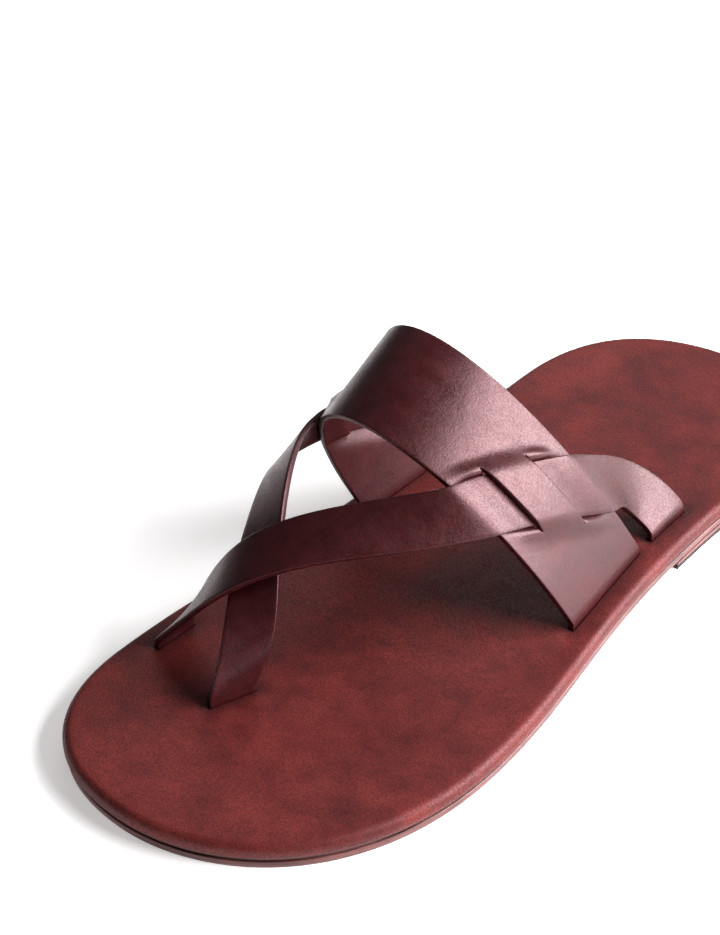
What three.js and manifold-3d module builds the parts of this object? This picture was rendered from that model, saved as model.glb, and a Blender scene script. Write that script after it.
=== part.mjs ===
// A flat leather toe-loop slide for the left foot.
// Millimetres. +Z is up, the toe points along -Y, the outer (lateral) side of the foot is +X.
// The origin is the middle of the sole's outline, on the ground.
import * as THREE from "three";
import { mergeVertices } from "three/addons/utils/BufferGeometryUtils.js";
import Module from "manifold-3d";

const wasm = await Module();
wasm.setup();

// ---- driving dimensions -------------------------------------------------------------------
// Plan of the sole.
const SOLE_LENGTH = 285;
const BALL_WIDTH = 110.8;
const HEEL_WIDTH = 91.1;
const TOE_TIP_X = -9.9;
const HEEL_TIP_X = 5.1;
const BALL_MEDIAL_TO_TOE = 46;
const BALL_LATERAL_TO_TOE = 79;
const HEEL_MEDIAL_TO_BACK = 55.2;
const HEEL_LATERAL_TO_BACK = 81.2;
// Fullness of each stretch of the outline, where it leaves one point and where it reaches the next.
const TOE_LATERAL_FULLNESS = [0.42, 0.72];
const WAIST_LATERAL_FULLNESS = [0.335, 0.528];
const HEEL_LATERAL_FULLNESS = [0.34, 1.27];
const HEEL_MEDIAL_FULLNESS = [0.166, 0.96];
const WAIST_MEDIAL_FULLNESS = [0.718, 0.278];
const TOE_MEDIAL_FULLNESS = [0.802, 0.473];

// Layers of the sole, counted up from the ground at the forefoot.
const OUTSOLE_THICKNESS = 2.2;
const MIDSOLE_THICKNESS = 1.0;
const COVER_THICKNESS = 0.9;
const BOARD_THICKNESS = 1.3;
const CUSHION_THICKNESS = 0.95;
const LAYER_GAP = 0.25;
const OUTSOLE_INSET = 0.8;
const MIDSOLE_INSET = 1.2;
const RIM_RADIUS = 2.6;
const TURN_UNDER = 6.4;

// Heel: the sole rises to sit on a two-layer lift.
const HEEL_LIFT_THICKNESS = 1.3;
const TOP_PIECE_THICKNESS = 1.2;
const HEEL_LENGTH = 98;
const WAIST_LENGTH = 104;

// Leather straps.
const STRAP_THICKNESS = 1.8;
const TAIL_THICKNESS = 0.9;
const STRAP_WIDTH = 16.2;
const REAR_END_WIDTH = 18.8;
const TOE_END_WIDTH = 14.4;
const TAIL_LENGTH = 13;
const FIT = 0.3;
const SLOT_SETBACK = 8.7;

// Instep band: its feet on the outer and inner side, and its arch over the foot.
const BAND_FOOT_LATERAL = [-8.9, 31.4];
const BAND_FOOT_MEDIAL = [-5.6, 29.5];
const BAND_FRONT_HEIGHT = 57.3;
const BAND_REAR_HEIGHT = 68.9;
const BAND_FRONT_LEAN = 25.6;
const BAND_REAR_LEAN = 30.4;
const BAND_MEDIAL_TILT = 0.31;

// The pair of slits that each narrow strap is woven through, and the bridge between them.
const SLIT_FRONT = 0.28;
const SLIT_REAR = 0.65;
const WEAVE_REAR_U = 0.1235;
const WEAVE_FRONT_U = 0.2475;
const SLIT_GAP = 3.4;
const BRIDGE_RISE = 2.6;
const FLAP_DIP = 0.4;
const SLIT_RAMP_LENGTH = 1.8;
const WEAVE_FIT = 0.35;
const FLAP_SLACK = 0.2;
const BRIDGE_SLACK = 0.15;

// Slots in the footbed for the narrow straps.
const REAR_SLOT_Y = 48;
const TOE_SLOT_MEDIAL_Y = -83;
const TOE_SLOT_LATERAL = new THREE.Vector2(-15.9, -91.8);
const TOE_SLOT_LATERAL_TURN = -0.36;

// Fasteners.
const TACK_HEAD_RADIUS = 1.7;
const TACK_HEAD_THICKNESS = 0.4;
const TACK_SHANK_RADIUS = 0.55;
const TACK_TIP_DEPTH = 0.6;
const TACK_ALONG_TAIL = 8;
const NAIL_HEAD_RADIUS = 1.6;
const NAIL_HEAD_THICKNESS = 0.6;
const NAIL_SHANK_RADIUS = 0.8;
const NAIL_RECESS = 0.4;
const NAIL_TIP_DEPTH = 0.4;
const NAIL_SPREAD = 54;
const NAIL_FROM_BREAST = 16;
const NAIL_FROM_BACK = 18;
const TACK_FIT = 0.2;
const HOLE_RUN_OUT = 1.5;
const PIN_SIDES = 12;

// ---- derived levels at the forefoot ---------------------------------------------------------
const MIDSOLE_BOTTOM = OUTSOLE_THICKNESS + LAYER_GAP;
const FLANGE_BOTTOM = MIDSOLE_BOTTOM + MIDSOLE_THICKNESS + LAYER_GAP;
const FLANGE_TOP = FLANGE_BOTTOM + COVER_THICKNESS;
const BOARD_BOTTOM = FLANGE_TOP + LAYER_GAP;
const BOARD_TOP = BOARD_BOTTOM + BOARD_THICKNESS;
const CUSHION_BOTTOM = BOARD_TOP + LAYER_GAP;
const CUSHION_TOP = CUSHION_BOTTOM + CUSHION_THICKNESS;
const COVER_INSIDE = CUSHION_TOP + LAYER_GAP;
const FOOTBED_TOP = COVER_INSIDE + COVER_THICKNESS;
const BAND_SPRING_LEVEL = FOOTBED_TOP + 1.6;
const HEEL_RISE = HEEL_LIFT_THICKNESS + TOP_PIECE_THICKNESS + 2 * LAYER_GAP;
const TOE_Y = -SOLE_LENGTH / 2;
const HEEL_Y = SOLE_LENGTH / 2;
const HEEL_BREAST_Y = HEEL_Y - HEEL_LENGTH;

// ---- outline of the sole ----------------------------------------------------------------------
const OUTLINE_STEPS = 30;
const vec = (x, y, z) => new THREE.Vector3(x, y, z);

function outlinePath() {
  const ballMedial = -BALL_WIDTH / 2;
  const ballLateral = BALL_WIDTH / 2;
  const heelMedial = -HEEL_WIDTH / 2;
  const heelLateral = HEEL_WIDTH / 2;
  const medialBallY = TOE_Y + BALL_MEDIAL_TO_TOE;
  const lateralBallY = TOE_Y + BALL_LATERAL_TO_TOE;
  const medialHeelY = HEEL_Y - HEEL_MEDIAL_TO_BACK;
  const lateralHeelY = HEEL_Y - HEEL_LATERAL_TO_BACK;
  const medialWaist = medialHeelY - medialBallY;
  const lateralWaist = lateralHeelY - lateralBallY;
  const path = new THREE.Path();
  path.moveTo(TOE_TIP_X, TOE_Y);
  // Each stretch leaves and meets its neighbours along X at the tips and along Y at the widest points.
  path.bezierCurveTo(
    TOE_TIP_X + TOE_LATERAL_FULLNESS[0] * (ballLateral - TOE_TIP_X), TOE_Y,
    ballLateral, lateralBallY - TOE_LATERAL_FULLNESS[1] * BALL_LATERAL_TO_TOE,
    ballLateral, lateralBallY,
  );
  path.bezierCurveTo(
    ballLateral, lateralBallY + WAIST_LATERAL_FULLNESS[0] * lateralWaist,
    heelLateral, lateralHeelY - WAIST_LATERAL_FULLNESS[1] * lateralWaist,
    heelLateral, lateralHeelY,
  );
  path.bezierCurveTo(
    heelLateral, lateralHeelY + HEEL_LATERAL_FULLNESS[0] * HEEL_LATERAL_TO_BACK,
    HEEL_TIP_X + HEEL_LATERAL_FULLNESS[1] * (heelLateral - HEEL_TIP_X), HEEL_Y,
    HEEL_TIP_X, HEEL_Y,
  );
  path.bezierCurveTo(
    HEEL_TIP_X + HEEL_MEDIAL_FULLNESS[0] * (heelMedial - HEEL_TIP_X), HEEL_Y,
    heelMedial, medialHeelY + HEEL_MEDIAL_FULLNESS[1] * HEEL_MEDIAL_TO_BACK,
    heelMedial, medialHeelY,
  );
  path.bezierCurveTo(
    heelMedial, medialHeelY - WAIST_MEDIAL_FULLNESS[0] * medialWaist,
    ballMedial, medialBallY + WAIST_MEDIAL_FULLNESS[1] * medialWaist,
    ballMedial, medialBallY,
  );
  path.bezierCurveTo(
    ballMedial, medialBallY - TOE_MEDIAL_FULLNESS[0] * BALL_MEDIAL_TO_TOE,
    TOE_TIP_X + TOE_MEDIAL_FULLNESS[1] * (ballMedial - TOE_TIP_X), TOE_Y,
    TOE_TIP_X, TOE_Y,
  );
  return path;
}

// The outline moved inwards by a distance, as a dense closed list of points.
function insetOutline(inset) {
  const points = outlinePath().getPoints(40);
  points.pop();
  const count = points.length;
  return points.map((point, i) => {
    const before = points[(i + count - 1) % count];
    const after = points[(i + 1) % count];
    const along = after.clone().sub(before).normalize();
    return new THREE.Vector2(point.x - along.y * inset, point.y + along.x * inset);
  });
}

// Where the inset outline crosses a line of constant y: its medial and lateral x.
function edgesAt(outline, y) {
  const crossings = [];
  outline.forEach((a, i) => {
    const b = outline[(i + 1) % outline.length];
    if ((a.y <= y) !== (b.y <= y)) {
      crossings.push(a.x + ((b.x - a.x) * (y - a.y)) / (b.y - a.y));
    }
  });
  return [Math.min(...crossings), Math.max(...crossings)];
}

// How far the sole has risen from the ground at y: level forefoot, arched waist, level heel.
function rise(y) {
  const t = THREE.MathUtils.clamp((y - (HEEL_BREAST_Y - WAIST_LENGTH)) / WAIST_LENGTH, 0, 1);
  return HEEL_RISE * t * t * (3 - 2 * t);
}

// ---- mesh builders ------------------------------------------------------------------------------
function geometryFrom(positions, triangles) {
  const geometry = new THREE.BufferGeometry();
  geometry.setAttribute("position", new THREE.Float32BufferAttribute(positions, 3));
  geometry.setIndex(triangles);
  geometry.computeVertexNormals();
  return geometry;
}

function solidFrom(source) {
  const geometry = source.clone();
  geometry.deleteAttribute("normal");
  geometry.deleteAttribute("uv");
  const merged = mergeVertices(geometry, 1e-4);
  return new wasm.Manifold(new wasm.Mesh({
    numProp: 3,
    vertProperties: new Float32Array(merged.attributes.position.array),
    triVerts: new Uint32Array(merged.index.array),
  }));
}

function geometryOf(solid) {
  const mesh = solid.getMesh();
  return geometryFrom(Array.from(mesh.vertProperties), Array.from(mesh.triVerts));
}

// A closed body of stacked rings, each the outline at an inset and a height above the forefoot's
// ground. All of it follows the rise of the sole, or stays level when `level` is true.
// Caps are strips across the foot. `fromY` cuts the body off straight at a heel breast.
function ringBody(rings, { level = false, fromY = null } = {}) {
  const positions = [];
  const triangles = [];
  const size = 2 * OUTLINE_STEPS;
  const lift = (y) => (level ? 0 : rise(y));
  rings.forEach(({ inset, height }) => {
    const outline = insetOutline(inset);
    const front = fromY ?? Math.min(...outline.map((p) => p.y)) + 0.01;
    const back = Math.max(...outline.map((p) => p.y)) - 0.01;
    for (let k = 0; k < size; k += 1) {
      const lateral = k <= OUTLINE_STEPS;
      const step = (lateral ? k : size - k) / OUTLINE_STEPS;
      const spread = fromY === null ? (1 - Math.cos(Math.PI * step)) / 2 : Math.sin((Math.PI * step) / 2);
      const y = front + (back - front) * spread;
      const [medialX, lateralX] = edgesAt(outline, y);
      const tip = step === 1 || (step === 0 && fromY === null);
      const x = tip ? (medialX + lateralX) / 2 : (lateral ? lateralX : medialX);
      positions.push(x, y, height + lift(y));
    }
    if (fromY !== null) {
      const [medialX] = edgesAt(outline, front);
      positions.push(medialX, front, height + lift(front));
    }
  });
  const count = fromY === null ? size : size + 1;
  const last = rings.length - 1;
  for (let r = 0; r < last; r += 1) {
    for (let k = 0; k < count; k += 1) {
      const a = r * count + k;
      const b = r * count + ((k + 1) % count);
      triangles.push(a, b, b + count, a, b + count, a + count);
    }
  }
  const opposite = (k) => (size - k) % count;
  for (let k = 0; k < OUTLINE_STEPS; k += 1) {
    for (const corners of [[k, k + 1, opposite(k + 1)], [k, opposite(k + 1), opposite(k)]]) {
      if (new Set(corners).size === 3) {
        triangles.push(corners[0], corners[2], corners[1]);
        triangles.push(...corners.map((c) => c + last * count));
      }
    }
  }
  return geometryFrom(positions, triangles);
}

// A sheet of leather laid on a grid of points. thickness(row) sets the leather's thickness, and
// isOpen(row, column) leaves a hole in the sheet where a slit is.
function leatherSheet(grid, thickness, isOpen = () => false) {
  const rows = grid.length;
  const columns = grid[0].length;
  const positions = [];
  const triangles = [];
  const at = (r, c) => grid[THREE.MathUtils.clamp(r, 0, rows - 1)][THREE.MathUtils.clamp(c, 0, columns - 1)];
  for (let r = 0; r < rows; r += 1) {
    for (let c = 0; c < columns; c += 1) {
      const alongRows = at(r + 1, c).clone().sub(at(r - 1, c));
      const alongColumns = at(r, c + 1).clone().sub(at(r, c - 1));
      const normal = alongRows.cross(alongColumns).normalize().multiplyScalar(thickness(r) / 2);
      const outer = at(r, c).clone().add(normal);
      const inner = at(r, c).clone().sub(normal);
      positions.push(outer.x, outer.y, outer.z, inner.x, inner.y, inner.z);
    }
  }
  const present = (r, c) => r >= 0 && c >= 0 && r < rows - 1 && c < columns - 1 && !isOpen(r, c);
  const outer = (r, c) => 2 * (r * columns + c);
  const inner = (r, c) => outer(r, c) + 1;
  const wall = (r0, c0, r1, c1) => {
    triangles.push(outer(r0, c0), inner(r0, c0), inner(r1, c1));
    triangles.push(outer(r0, c0), inner(r1, c1), outer(r1, c1));
  };
  for (let r = 0; r < rows - 1; r += 1) {
    for (let c = 0; c < columns - 1; c += 1) {
      if (!present(r, c)) continue;
      triangles.push(outer(r, c), outer(r + 1, c), outer(r + 1, c + 1));
      triangles.push(outer(r, c), outer(r + 1, c + 1), outer(r, c + 1));
      triangles.push(inner(r, c), inner(r + 1, c + 1), inner(r + 1, c));
      triangles.push(inner(r, c), inner(r, c + 1), inner(r + 1, c + 1));
      if (!present(r - 1, c)) wall(r, c + 1, r, c);
      if (!present(r + 1, c)) wall(r + 1, c, r + 1, c + 1);
      if (!present(r, c - 1)) wall(r, c, r + 1, c);
      if (!present(r, c + 1)) wall(r + 1, c + 1, r, c + 1);
    }
  }
  return geometryFrom(positions, triangles);
}

// ---- slots and turned-under tails -------------------------------------------------------------
// A slot is a line in the footbed. Its tail is turned under towards `inward`, +1 for +X, -1 for -X.
function edgeSlot(side, y0, y1) {
  const outline = insetOutline(SLOT_SETBACK);
  const pick = side > 0 ? 1 : 0;
  return {
    front: new THREE.Vector2(edgesAt(outline, y0)[pick], y0),
    back: new THREE.Vector2(edgesAt(outline, y1)[pick], y1),
    inward: -side,
  };
}

function centredSlot(center, length, turn, inward) {
  const half = new THREE.Vector2(-Math.sin(turn), Math.cos(turn)).multiplyScalar(length / 2);
  return { front: center.clone().sub(half), back: center.clone().add(half), inward };
}

const SLOTS = {
  bandLateral: edgeSlot(1, ...BAND_FOOT_LATERAL),
  bandMedial: edgeSlot(-1, ...BAND_FOOT_MEDIAL),
  rearLateral: edgeSlot(1, REAR_SLOT_Y - REAR_END_WIDTH / 2, REAR_SLOT_Y + REAR_END_WIDTH / 2),
  rearMedial: edgeSlot(-1, REAR_SLOT_Y - REAR_END_WIDTH / 2, REAR_SLOT_Y + REAR_END_WIDTH / 2),
  toeMedial: edgeSlot(-1, TOE_SLOT_MEDIAL_Y - TOE_END_WIDTH / 2, TOE_SLOT_MEDIAL_Y + TOE_END_WIDTH / 2),
  toeLateral: centredSlot(TOE_SLOT_LATERAL, TOE_END_WIDTH, TOE_SLOT_LATERAL_TURN, 1),
};

const TAIL_LEVEL = FLANGE_BOTTOM + TAIL_THICKNESS / 2;
const TAIL_BEND = 1.0;
const HALF_BEND = TAIL_BEND * (1 - Math.SQRT1_2);

// A point of a strap at a slot: `across` runs 0 to 1 from the slot's front end to its back end,
// `out` is the distance from the slot in the turned-under direction, `height` is over the forefoot.
function slotPoint(slot, across, out, height) {
  const along = slot.back.clone().sub(slot.front).normalize();
  const tailwards = new THREE.Vector2(along.y, -along.x).multiplyScalar(slot.inward * Math.sign(along.y));
  const p = slot.front.clone().lerp(slot.back, across).addScaledVector(tailwards, out);
  return new THREE.Vector3(p.x, p.y, height + rise(p.y));
}

// The stations from a tail's free end to just above the footbed: distance out, height, thickness.
const TAIL_STATIONS = [
  { out: TAIL_LENGTH, height: TAIL_LEVEL, thickness: TAIL_THICKNESS },
  { out: TAIL_LENGTH / 2, height: TAIL_LEVEL, thickness: TAIL_THICKNESS },
  { out: TAIL_BEND, height: TAIL_LEVEL, thickness: TAIL_THICKNESS },
  { out: HALF_BEND, height: TAIL_LEVEL + HALF_BEND, thickness: TAIL_THICKNESS },
  { out: 0, height: TAIL_LEVEL + TAIL_BEND, thickness: TAIL_THICKNESS * 1.1 },
  { out: 0, height: FOOTBED_TOP - 0.4, thickness: STRAP_THICKNESS * 0.9 },
  { out: 0, height: BAND_SPRING_LEVEL, thickness: STRAP_THICKNESS },
];

// ---- instep band -------------------------------------------------------------------------------
// The middle of the band's leather: u runs from the outer foot over the instep to the inner foot,
// v runs from the front edge to the rear edge.
function bandPoint(u, v) {
  const angle = Math.PI * u;
  const arch = Math.sin(angle);
  const lateral = SLOTS.bandLateral.front.clone().lerp(SLOTS.bandLateral.back, v);
  const medial = SLOTS.bandMedial.front.clone().lerp(SLOTS.bandMedial.back, v);
  const height = THREE.MathUtils.lerp(BAND_FRONT_HEIGHT, BAND_REAR_HEIGHT, v) * arch;
  const lean = THREE.MathUtils.lerp(BAND_FRONT_LEAN, BAND_REAR_LEAN, v) * arch;
  const x = (lateral.x + medial.x) / 2 + ((lateral.x - medial.x) / 2) * Math.cos(angle);
  const footY = THREE.MathUtils.lerp(lateral.y, medial.y, u);
  const z = BAND_SPRING_LEVEL + rise(footY) + height;
  return new THREE.Vector3(x - BAND_MEDIAL_TILT * height, footY - lean, z);
}

function bandNormal(u, v) {
  const step = 0.01;
  const alongU = bandPoint(Math.min(u + step, 1), v).sub(bandPoint(Math.max(u - step, 0), v));
  const alongV = bandPoint(u, v + step).sub(bandPoint(u, v - step));
  return alongV.cross(alongU).normalize();
}

const BAND_WIDTH = bandPoint(0.2, 0).distanceTo(bandPoint(0.2, 1));
const ARCH_STEPS = 60;
const BAND_LENGTH = Array.from({ length: ARCH_STEPS }, (_, i) => i / ARCH_STEPS)
  .reduce((sum, u) => sum + bandPoint(u, 0.5).distanceTo(bandPoint(u + 1 / ARCH_STEPS, 0.5)), 0);

// A narrow strap crosses the band aslant: its middle line is at u = weaveCentre(v) on the outer side.
const weaveCentre = (v) => THREE.MathUtils.lerp(WEAVE_FRONT_U, WEAVE_REAR_U, v);
const WEAVE_SLANT = Math.atan2((WEAVE_FRONT_U - WEAVE_REAR_U) * BAND_LENGTH, BAND_WIDTH);
const WEAVE_HALF = STRAP_WIDTH / 2 / Math.cos(WEAVE_SLANT) / BAND_LENGTH;
const COVER_HALF = WEAVE_HALF + FIT / BAND_LENGTH;
const SLIT_RAMP = SLIT_RAMP_LENGTH / BAND_LENGTH;
const SLIT_HALF_GAP = SLIT_GAP / 2 / BAND_WIDTH;

const BAND_COLUMNS = [
  0,
  SLIT_FRONT / 2,
  SLIT_FRONT - SLIT_HALF_GAP,
  SLIT_FRONT + SLIT_HALF_GAP,
  (SLIT_FRONT + SLIT_REAR) / 2,
  SLIT_REAR - SLIT_HALF_GAP,
  SLIT_REAR + SLIT_HALF_GAP,
  (SLIT_REAR + 1) / 2,
  1,
];
const SLIT_COLUMNS = [2, 5];
const BRIDGE_COLUMNS = [3, 4, 5];
const FLAP_COLUMNS = [2, 6];

// The band's rows from the outer foot to the apex. Rows in the weave run along the narrow strap, at a
// distance `offset` from its middle line, and the rows between there and the ends turn square again.
// cover is 1 where the narrow strap lies and 0 outside the slits.
const WEAVE_MIDDLE = (WEAVE_REAR_U + WEAVE_FRONT_U) / 2;
const WEAVE_START = WEAVE_MIDDLE - COVER_HALF - SLIT_RAMP;
const WEAVE_END = WEAVE_MIDDLE + COVER_HALF + SLIT_RAMP;
const BAND_ROWS = [
  { u: 0, slant: 0, cover: 0 },
  { u: WEAVE_START / 2, slant: 0.5, cover: 0 },
  { u: WEAVE_START, slant: 1, cover: 0 },
  { u: WEAVE_MIDDLE - COVER_HALF, slant: 1, cover: 1 },
  { u: WEAVE_MIDDLE - COVER_HALF / 2, slant: 1, cover: 1 },
  { u: WEAVE_MIDDLE, slant: 1, cover: 1 },
  { u: WEAVE_MIDDLE + COVER_HALF / 2, slant: 1, cover: 1 },
  { u: WEAVE_MIDDLE + COVER_HALF, slant: 1, cover: 1 },
  { u: WEAVE_END, slant: 1, cover: 0 },
  { u: WEAVE_END + (0.5 - WEAVE_END) / 4, slant: 0.75, cover: 0 },
  { u: WEAVE_END + (0.5 - WEAVE_END) / 2, slant: 0.5, cover: 0 },
  { u: WEAVE_END + (0.75 * (0.5 - WEAVE_END)), slant: 0.25, cover: 0 },
  { u: 0.5, slant: 0, cover: 0 },
];

function bandSheet() {
  const tail = TAIL_STATIONS.slice(0, -1);
  const tailRow = (slot, { out, height }) => BAND_COLUMNS.map((v) => slotPoint(slot, v, out, height));
  const archRow = ({ u, slant, cover }, mirrored) => BAND_COLUMNS.map((v, c) => {
    const slanted = u + slant * (weaveCentre(v) - WEAVE_MIDDLE);
    const place = mirrored ? 1 - slanted : slanted;
    let lift = 0;
    if (BRIDGE_COLUMNS.includes(c)) lift = BRIDGE_RISE * cover;
    if (FLAP_COLUMNS.includes(c)) lift = -FLAP_DIP * cover;
    return bandPoint(place, v).addScaledVector(bandNormal(place, v), lift);
  });
  const rows = [...BAND_ROWS, ...BAND_ROWS.slice(0, -1).toReversed()];
  const arch = rows.map((row, i) => archRow(row, i >= BAND_ROWS.length));
  const grid = [
    ...tail.map((station) => tailRow(SLOTS.bandLateral, station)),
    ...arch,
    ...tail.toReversed().map((station) => tailRow(SLOTS.bandMedial, station)),
  ];
  const thicknesses = [
    ...tail.map((station) => station.thickness),
    ...arch.map(() => STRAP_THICKNESS),
    ...tail.toReversed().map((station) => station.thickness),
  ];
  const isOpen = (r, c) => {
    const first = rows[r - tail.length];
    const second = rows[r - tail.length + 1];
    return SLIT_COLUMNS.includes(c) && Boolean(first?.cover || second?.cover);
  };
  return leatherSheet(grid, (r) => thicknesses[r], isOpen);
}

// ---- narrow straps ------------------------------------------------------------------------------
// A station is the strap's section: its lower edge, middle and upper edge.
function weaveStation(v, lift, side) {
  const place = (offset) => {
    const u = weaveCentre(v) + offset;
    const half = side > 0 ? u : 1 - u;
    return bandPoint(half, v).addScaledVector(bandNormal(half, v), lift);
  };
  return [place(-WEAVE_HALF), place(0), place(WEAVE_HALF)];
}

// The slot's front end takes the strap's lower edge at both ends of a strap.
function slotStations(slot) {
  return TAIL_STATIONS.map(({ out, height }) => [0, 0.5, 1].map((a) => slotPoint(slot, a, out, height)));
}

const ON_BAND = STRAP_THICKNESS + WEAVE_FIT;
const AT_FLAP = ON_BAND - FLAP_DIP + FLAP_SLACK;
const UNDER_BRIDGE = BRIDGE_RISE - ON_BAND - BRIDGE_SLACK;
const ARCH_END_WEIGHT = 0.3;
const CROSSING_FIT = 0.45;
const WEAVE = [
  { v: 1.12, lift: ON_BAND },
  { v: 1, lift: ON_BAND },
  { v: (1 + SLIT_REAR + SLIT_HALF_GAP) / 2, lift: ON_BAND },
  { v: SLIT_REAR + SLIT_HALF_GAP, lift: AT_FLAP },
  { v: SLIT_REAR - SLIT_HALF_GAP, lift: UNDER_BRIDGE },
  { v: (SLIT_FRONT + SLIT_REAR) / 2, lift: UNDER_BRIDGE },
  { v: SLIT_FRONT + SLIT_HALF_GAP, lift: UNDER_BRIDGE },
  { v: SLIT_FRONT - SLIT_HALF_GAP, lift: AT_FLAP },
  { v: (SLIT_FRONT - SLIT_HALF_GAP) / 2, lift: ON_BAND },
  { v: 0, lift: ON_BAND },
  { v: -0.1, lift: ON_BAND },
];

// The free stretches. Each station is an offset from the straight line between the stretch's two ends,
// in equal steps along it, and a direction across the strap.
const LATERAL_REAR = [
  [vec(-3.1, 5.9, -2.1), vec(-0.25, 0.9, 0.35)],
  [vec(-5.1, 2.8, -0.2), vec(-0.55, 0.5, 0.67)],
];
const LATERAL_FRONT = [
  [vec(1.6, -1.3, 4.2), vec(-0.55, 0.35, 0.76)],
  [vec(0.5, -4.5, 8.1), vec(-0.58, 0.47, 0.66)],
  [vec(-1.3, -7, 11.5), vec(-0.63, 0.54, 0.55)],
  [vec(-3, -9.4, 13.9), vec(-0.7, 0.57, 0.43)],
  [vec(-4.1, -11.2, 13.9), vec(-0.73, 0.65, 0.2)],
  [vec(-3.8, -10.4, 10.1), vec(-0.51, 0.86, 0.03)],
  [vec(-2.4, -6.2, 3.9), vec(-0.23, 0.97, 0.03)],
];
const MEDIAL_REAR = [
  [vec(3.2, 6.1, -2.1), vec(0.1, 0.95, 0.15)],
  [vec(3.7, 3.7, 2.1), vec(0.3, 0.7, 0.6)],
];
const MEDIAL_FRONT = [
  [vec(-4.2, 0.6, 5.1), vec(0.5, 0.2, 0.84)],
  [vec(-2.9, -2.2, 8.7), vec(0.62, 0.14, 0.77)],
  [vec(-0.9, -4.5, 9.7), vec(0.73, 0.15, 0.67)],
  [vec(1.3, -6, 9.6), vec(0.84, 0.2, 0.5)],
  [vec(3.6, -6.6, 8.7), vec(0.9, 0.35, 0.24)],
  [vec(5.2, -6.1, 6.9), vec(0.8, 0.6, -0.03)],
  [vec(4.5, -4.3, 3), vec(0.5, 0.85, -0.15)],
];

function freeStretch(offsets, start, end, startWidth, endWidth) {
  return offsets.map(([offset, across], i) => {
    const t = (i + 1) / (offsets.length + 1);
    const middle = start.clone().lerp(end, t).add(offset);
    const half = across.clone().normalize().multiplyScalar(THREE.MathUtils.lerp(startWidth, endWidth, t) / 2);
    return [middle.clone().sub(half), middle, middle.clone().add(half)];
  });
}

// The grid of a narrow strap's middle surface and the thickness of each row. `arch` rows are those of
// the stretch between the band's front edge and the toe slot.
function strapGrid(side, rearSlot, toeSlot, rearOffsets, frontOffsets) {
  const rear = slotStations(rearSlot);
  const toe = slotStations(toeSlot).toReversed();
  const weave = WEAVE.map(({ v, lift }) => weaveStation(v, lift, side));
  const stations = [
    ...rear,
    ...freeStretch(rearOffsets, rear.at(-1)[1], weave[0][1], REAR_END_WIDTH, STRAP_WIDTH),
    ...weave,
    ...freeStretch(frontOffsets, weave.at(-1)[1], toe[0][1], STRAP_WIDTH, TOE_END_WIDTH),
    ...toe,
  ];
  const curves = [0, 1, 2].map((i) => new THREE.CatmullRomCurve3(stations.map((s) => s[i])));
  const tailCount = TAIL_STATIONS.length - 1;
  const spans = stations.length - 1;
  const stops = [];
  for (let i = 0; i < spans; i += 1) {
    const inTail = i < tailCount || i >= spans - tailCount;
    stops.push(i);
    if (!inTail) stops.push(i + 0.5);
  }
  stops.push(spans);
  const grid = stops.map((stop) => {
    const [lower, middle, upper] = curves.map((curve) => curve.getPoint(stop / spans));
    return [-1, -0.5, 0, 0.5, 1].map((s) => {
      const edge = s < 0 ? lower : upper;
      const flat = middle.clone().lerp(edge, Math.abs(s));
      const bow = middle.clone().sub(lower.clone().lerp(upper, 0.5));
      return flat.addScaledVector(bow, Math.abs(s) * (1 - Math.abs(s)));
    });
  });
  const thicknesses = stops.map((stop) => {
    const i = Math.round(Math.min(stop, spans - stop));
    return i < TAIL_STATIONS.length ? TAIL_STATIONS[i].thickness : STRAP_THICKNESS;
  });
  const archStart = rear.length + rearOffsets.length + weave.length - 1;
  const archEnd = archStart + frontOffsets.length + 1;
  const arch = stops.map((stop) => THREE.MathUtils.clamp((stop - archStart) / (archEnd - archStart), 0, 1));
  return { grid, thicknesses, arch };
}

// The two triangles of each cell of a strap's arch, with the cell's place along the arch.
function archCells({ grid, arch }) {
  const cells = [];
  for (let r = 0; r < grid.length - 1; r += 1) {
    if (arch[r] === arch[r + 1]) continue;
    const place = (arch[r] + arch[r + 1]) / 2;
    for (let c = 0; c < grid[r].length - 1; c += 1) {
      cells.push({ place, triangle: new THREE.Triangle(grid[r][c], grid[r + 1][c], grid[r + 1][c + 1]) });
      cells.push({ place, triangle: new THREE.Triangle(grid[r][c], grid[r + 1][c + 1], grid[r][c + 1]) });
    }
  }
  return cells;
}

// Where points of one arch lie straight above or below the surface of another.
function crossings(from, onto) {
  const cells = archCells(onto);
  const ray = new THREE.Ray(new THREE.Vector3(), new THREE.Vector3(0, 0, 1));
  const hit = new THREE.Vector3();
  const normal = new THREE.Vector3();
  const found = [];
  from.grid.forEach((row, r) => row.forEach((point) => {
    for (const { place, triangle } of cells) {
      ray.origin.set(point.x, point.y, 0);
      if (ray.intersectTriangle(triangle.a, triangle.b, triangle.c, false, hit) === null) continue;
      const spacing = (STRAP_THICKNESS + CROSSING_FIT) / Math.abs(triangle.getNormal(normal).z);
      found.push({ fromPlace: from.arch[r], ontoPlace: place, fromZ: point.z, ontoZ: hit.z, spacing });
    }
  }));
  return found;
}

// Raises or lowers the upper strap's arch until it just lies over the lower strap where they cross.
function layOver(upper, lower) {
  const weight = (place) => Math.sin(Math.PI * place);
  const needed = [
    ...crossings(upper, lower).map((c) => [c.ontoZ + c.spacing - c.fromZ, weight(c.fromPlace)]),
    ...crossings(lower, upper).map((c) => [c.fromZ + c.spacing - c.ontoZ, weight(c.ontoPlace)]),
  ].filter(([, share]) => share > ARCH_END_WEIGHT);
  const raise = Math.max(...needed.map(([distance, share]) => distance / share));
  upper.grid.forEach((row, r) => row.forEach((point) => {
    point.z += raise * weight(upper.arch[r]);
  }));
}

function strapGeometry({ grid, thicknesses }) {
  return drilled(leatherSheet(grid, (r) => thicknesses[r]));
}

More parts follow.
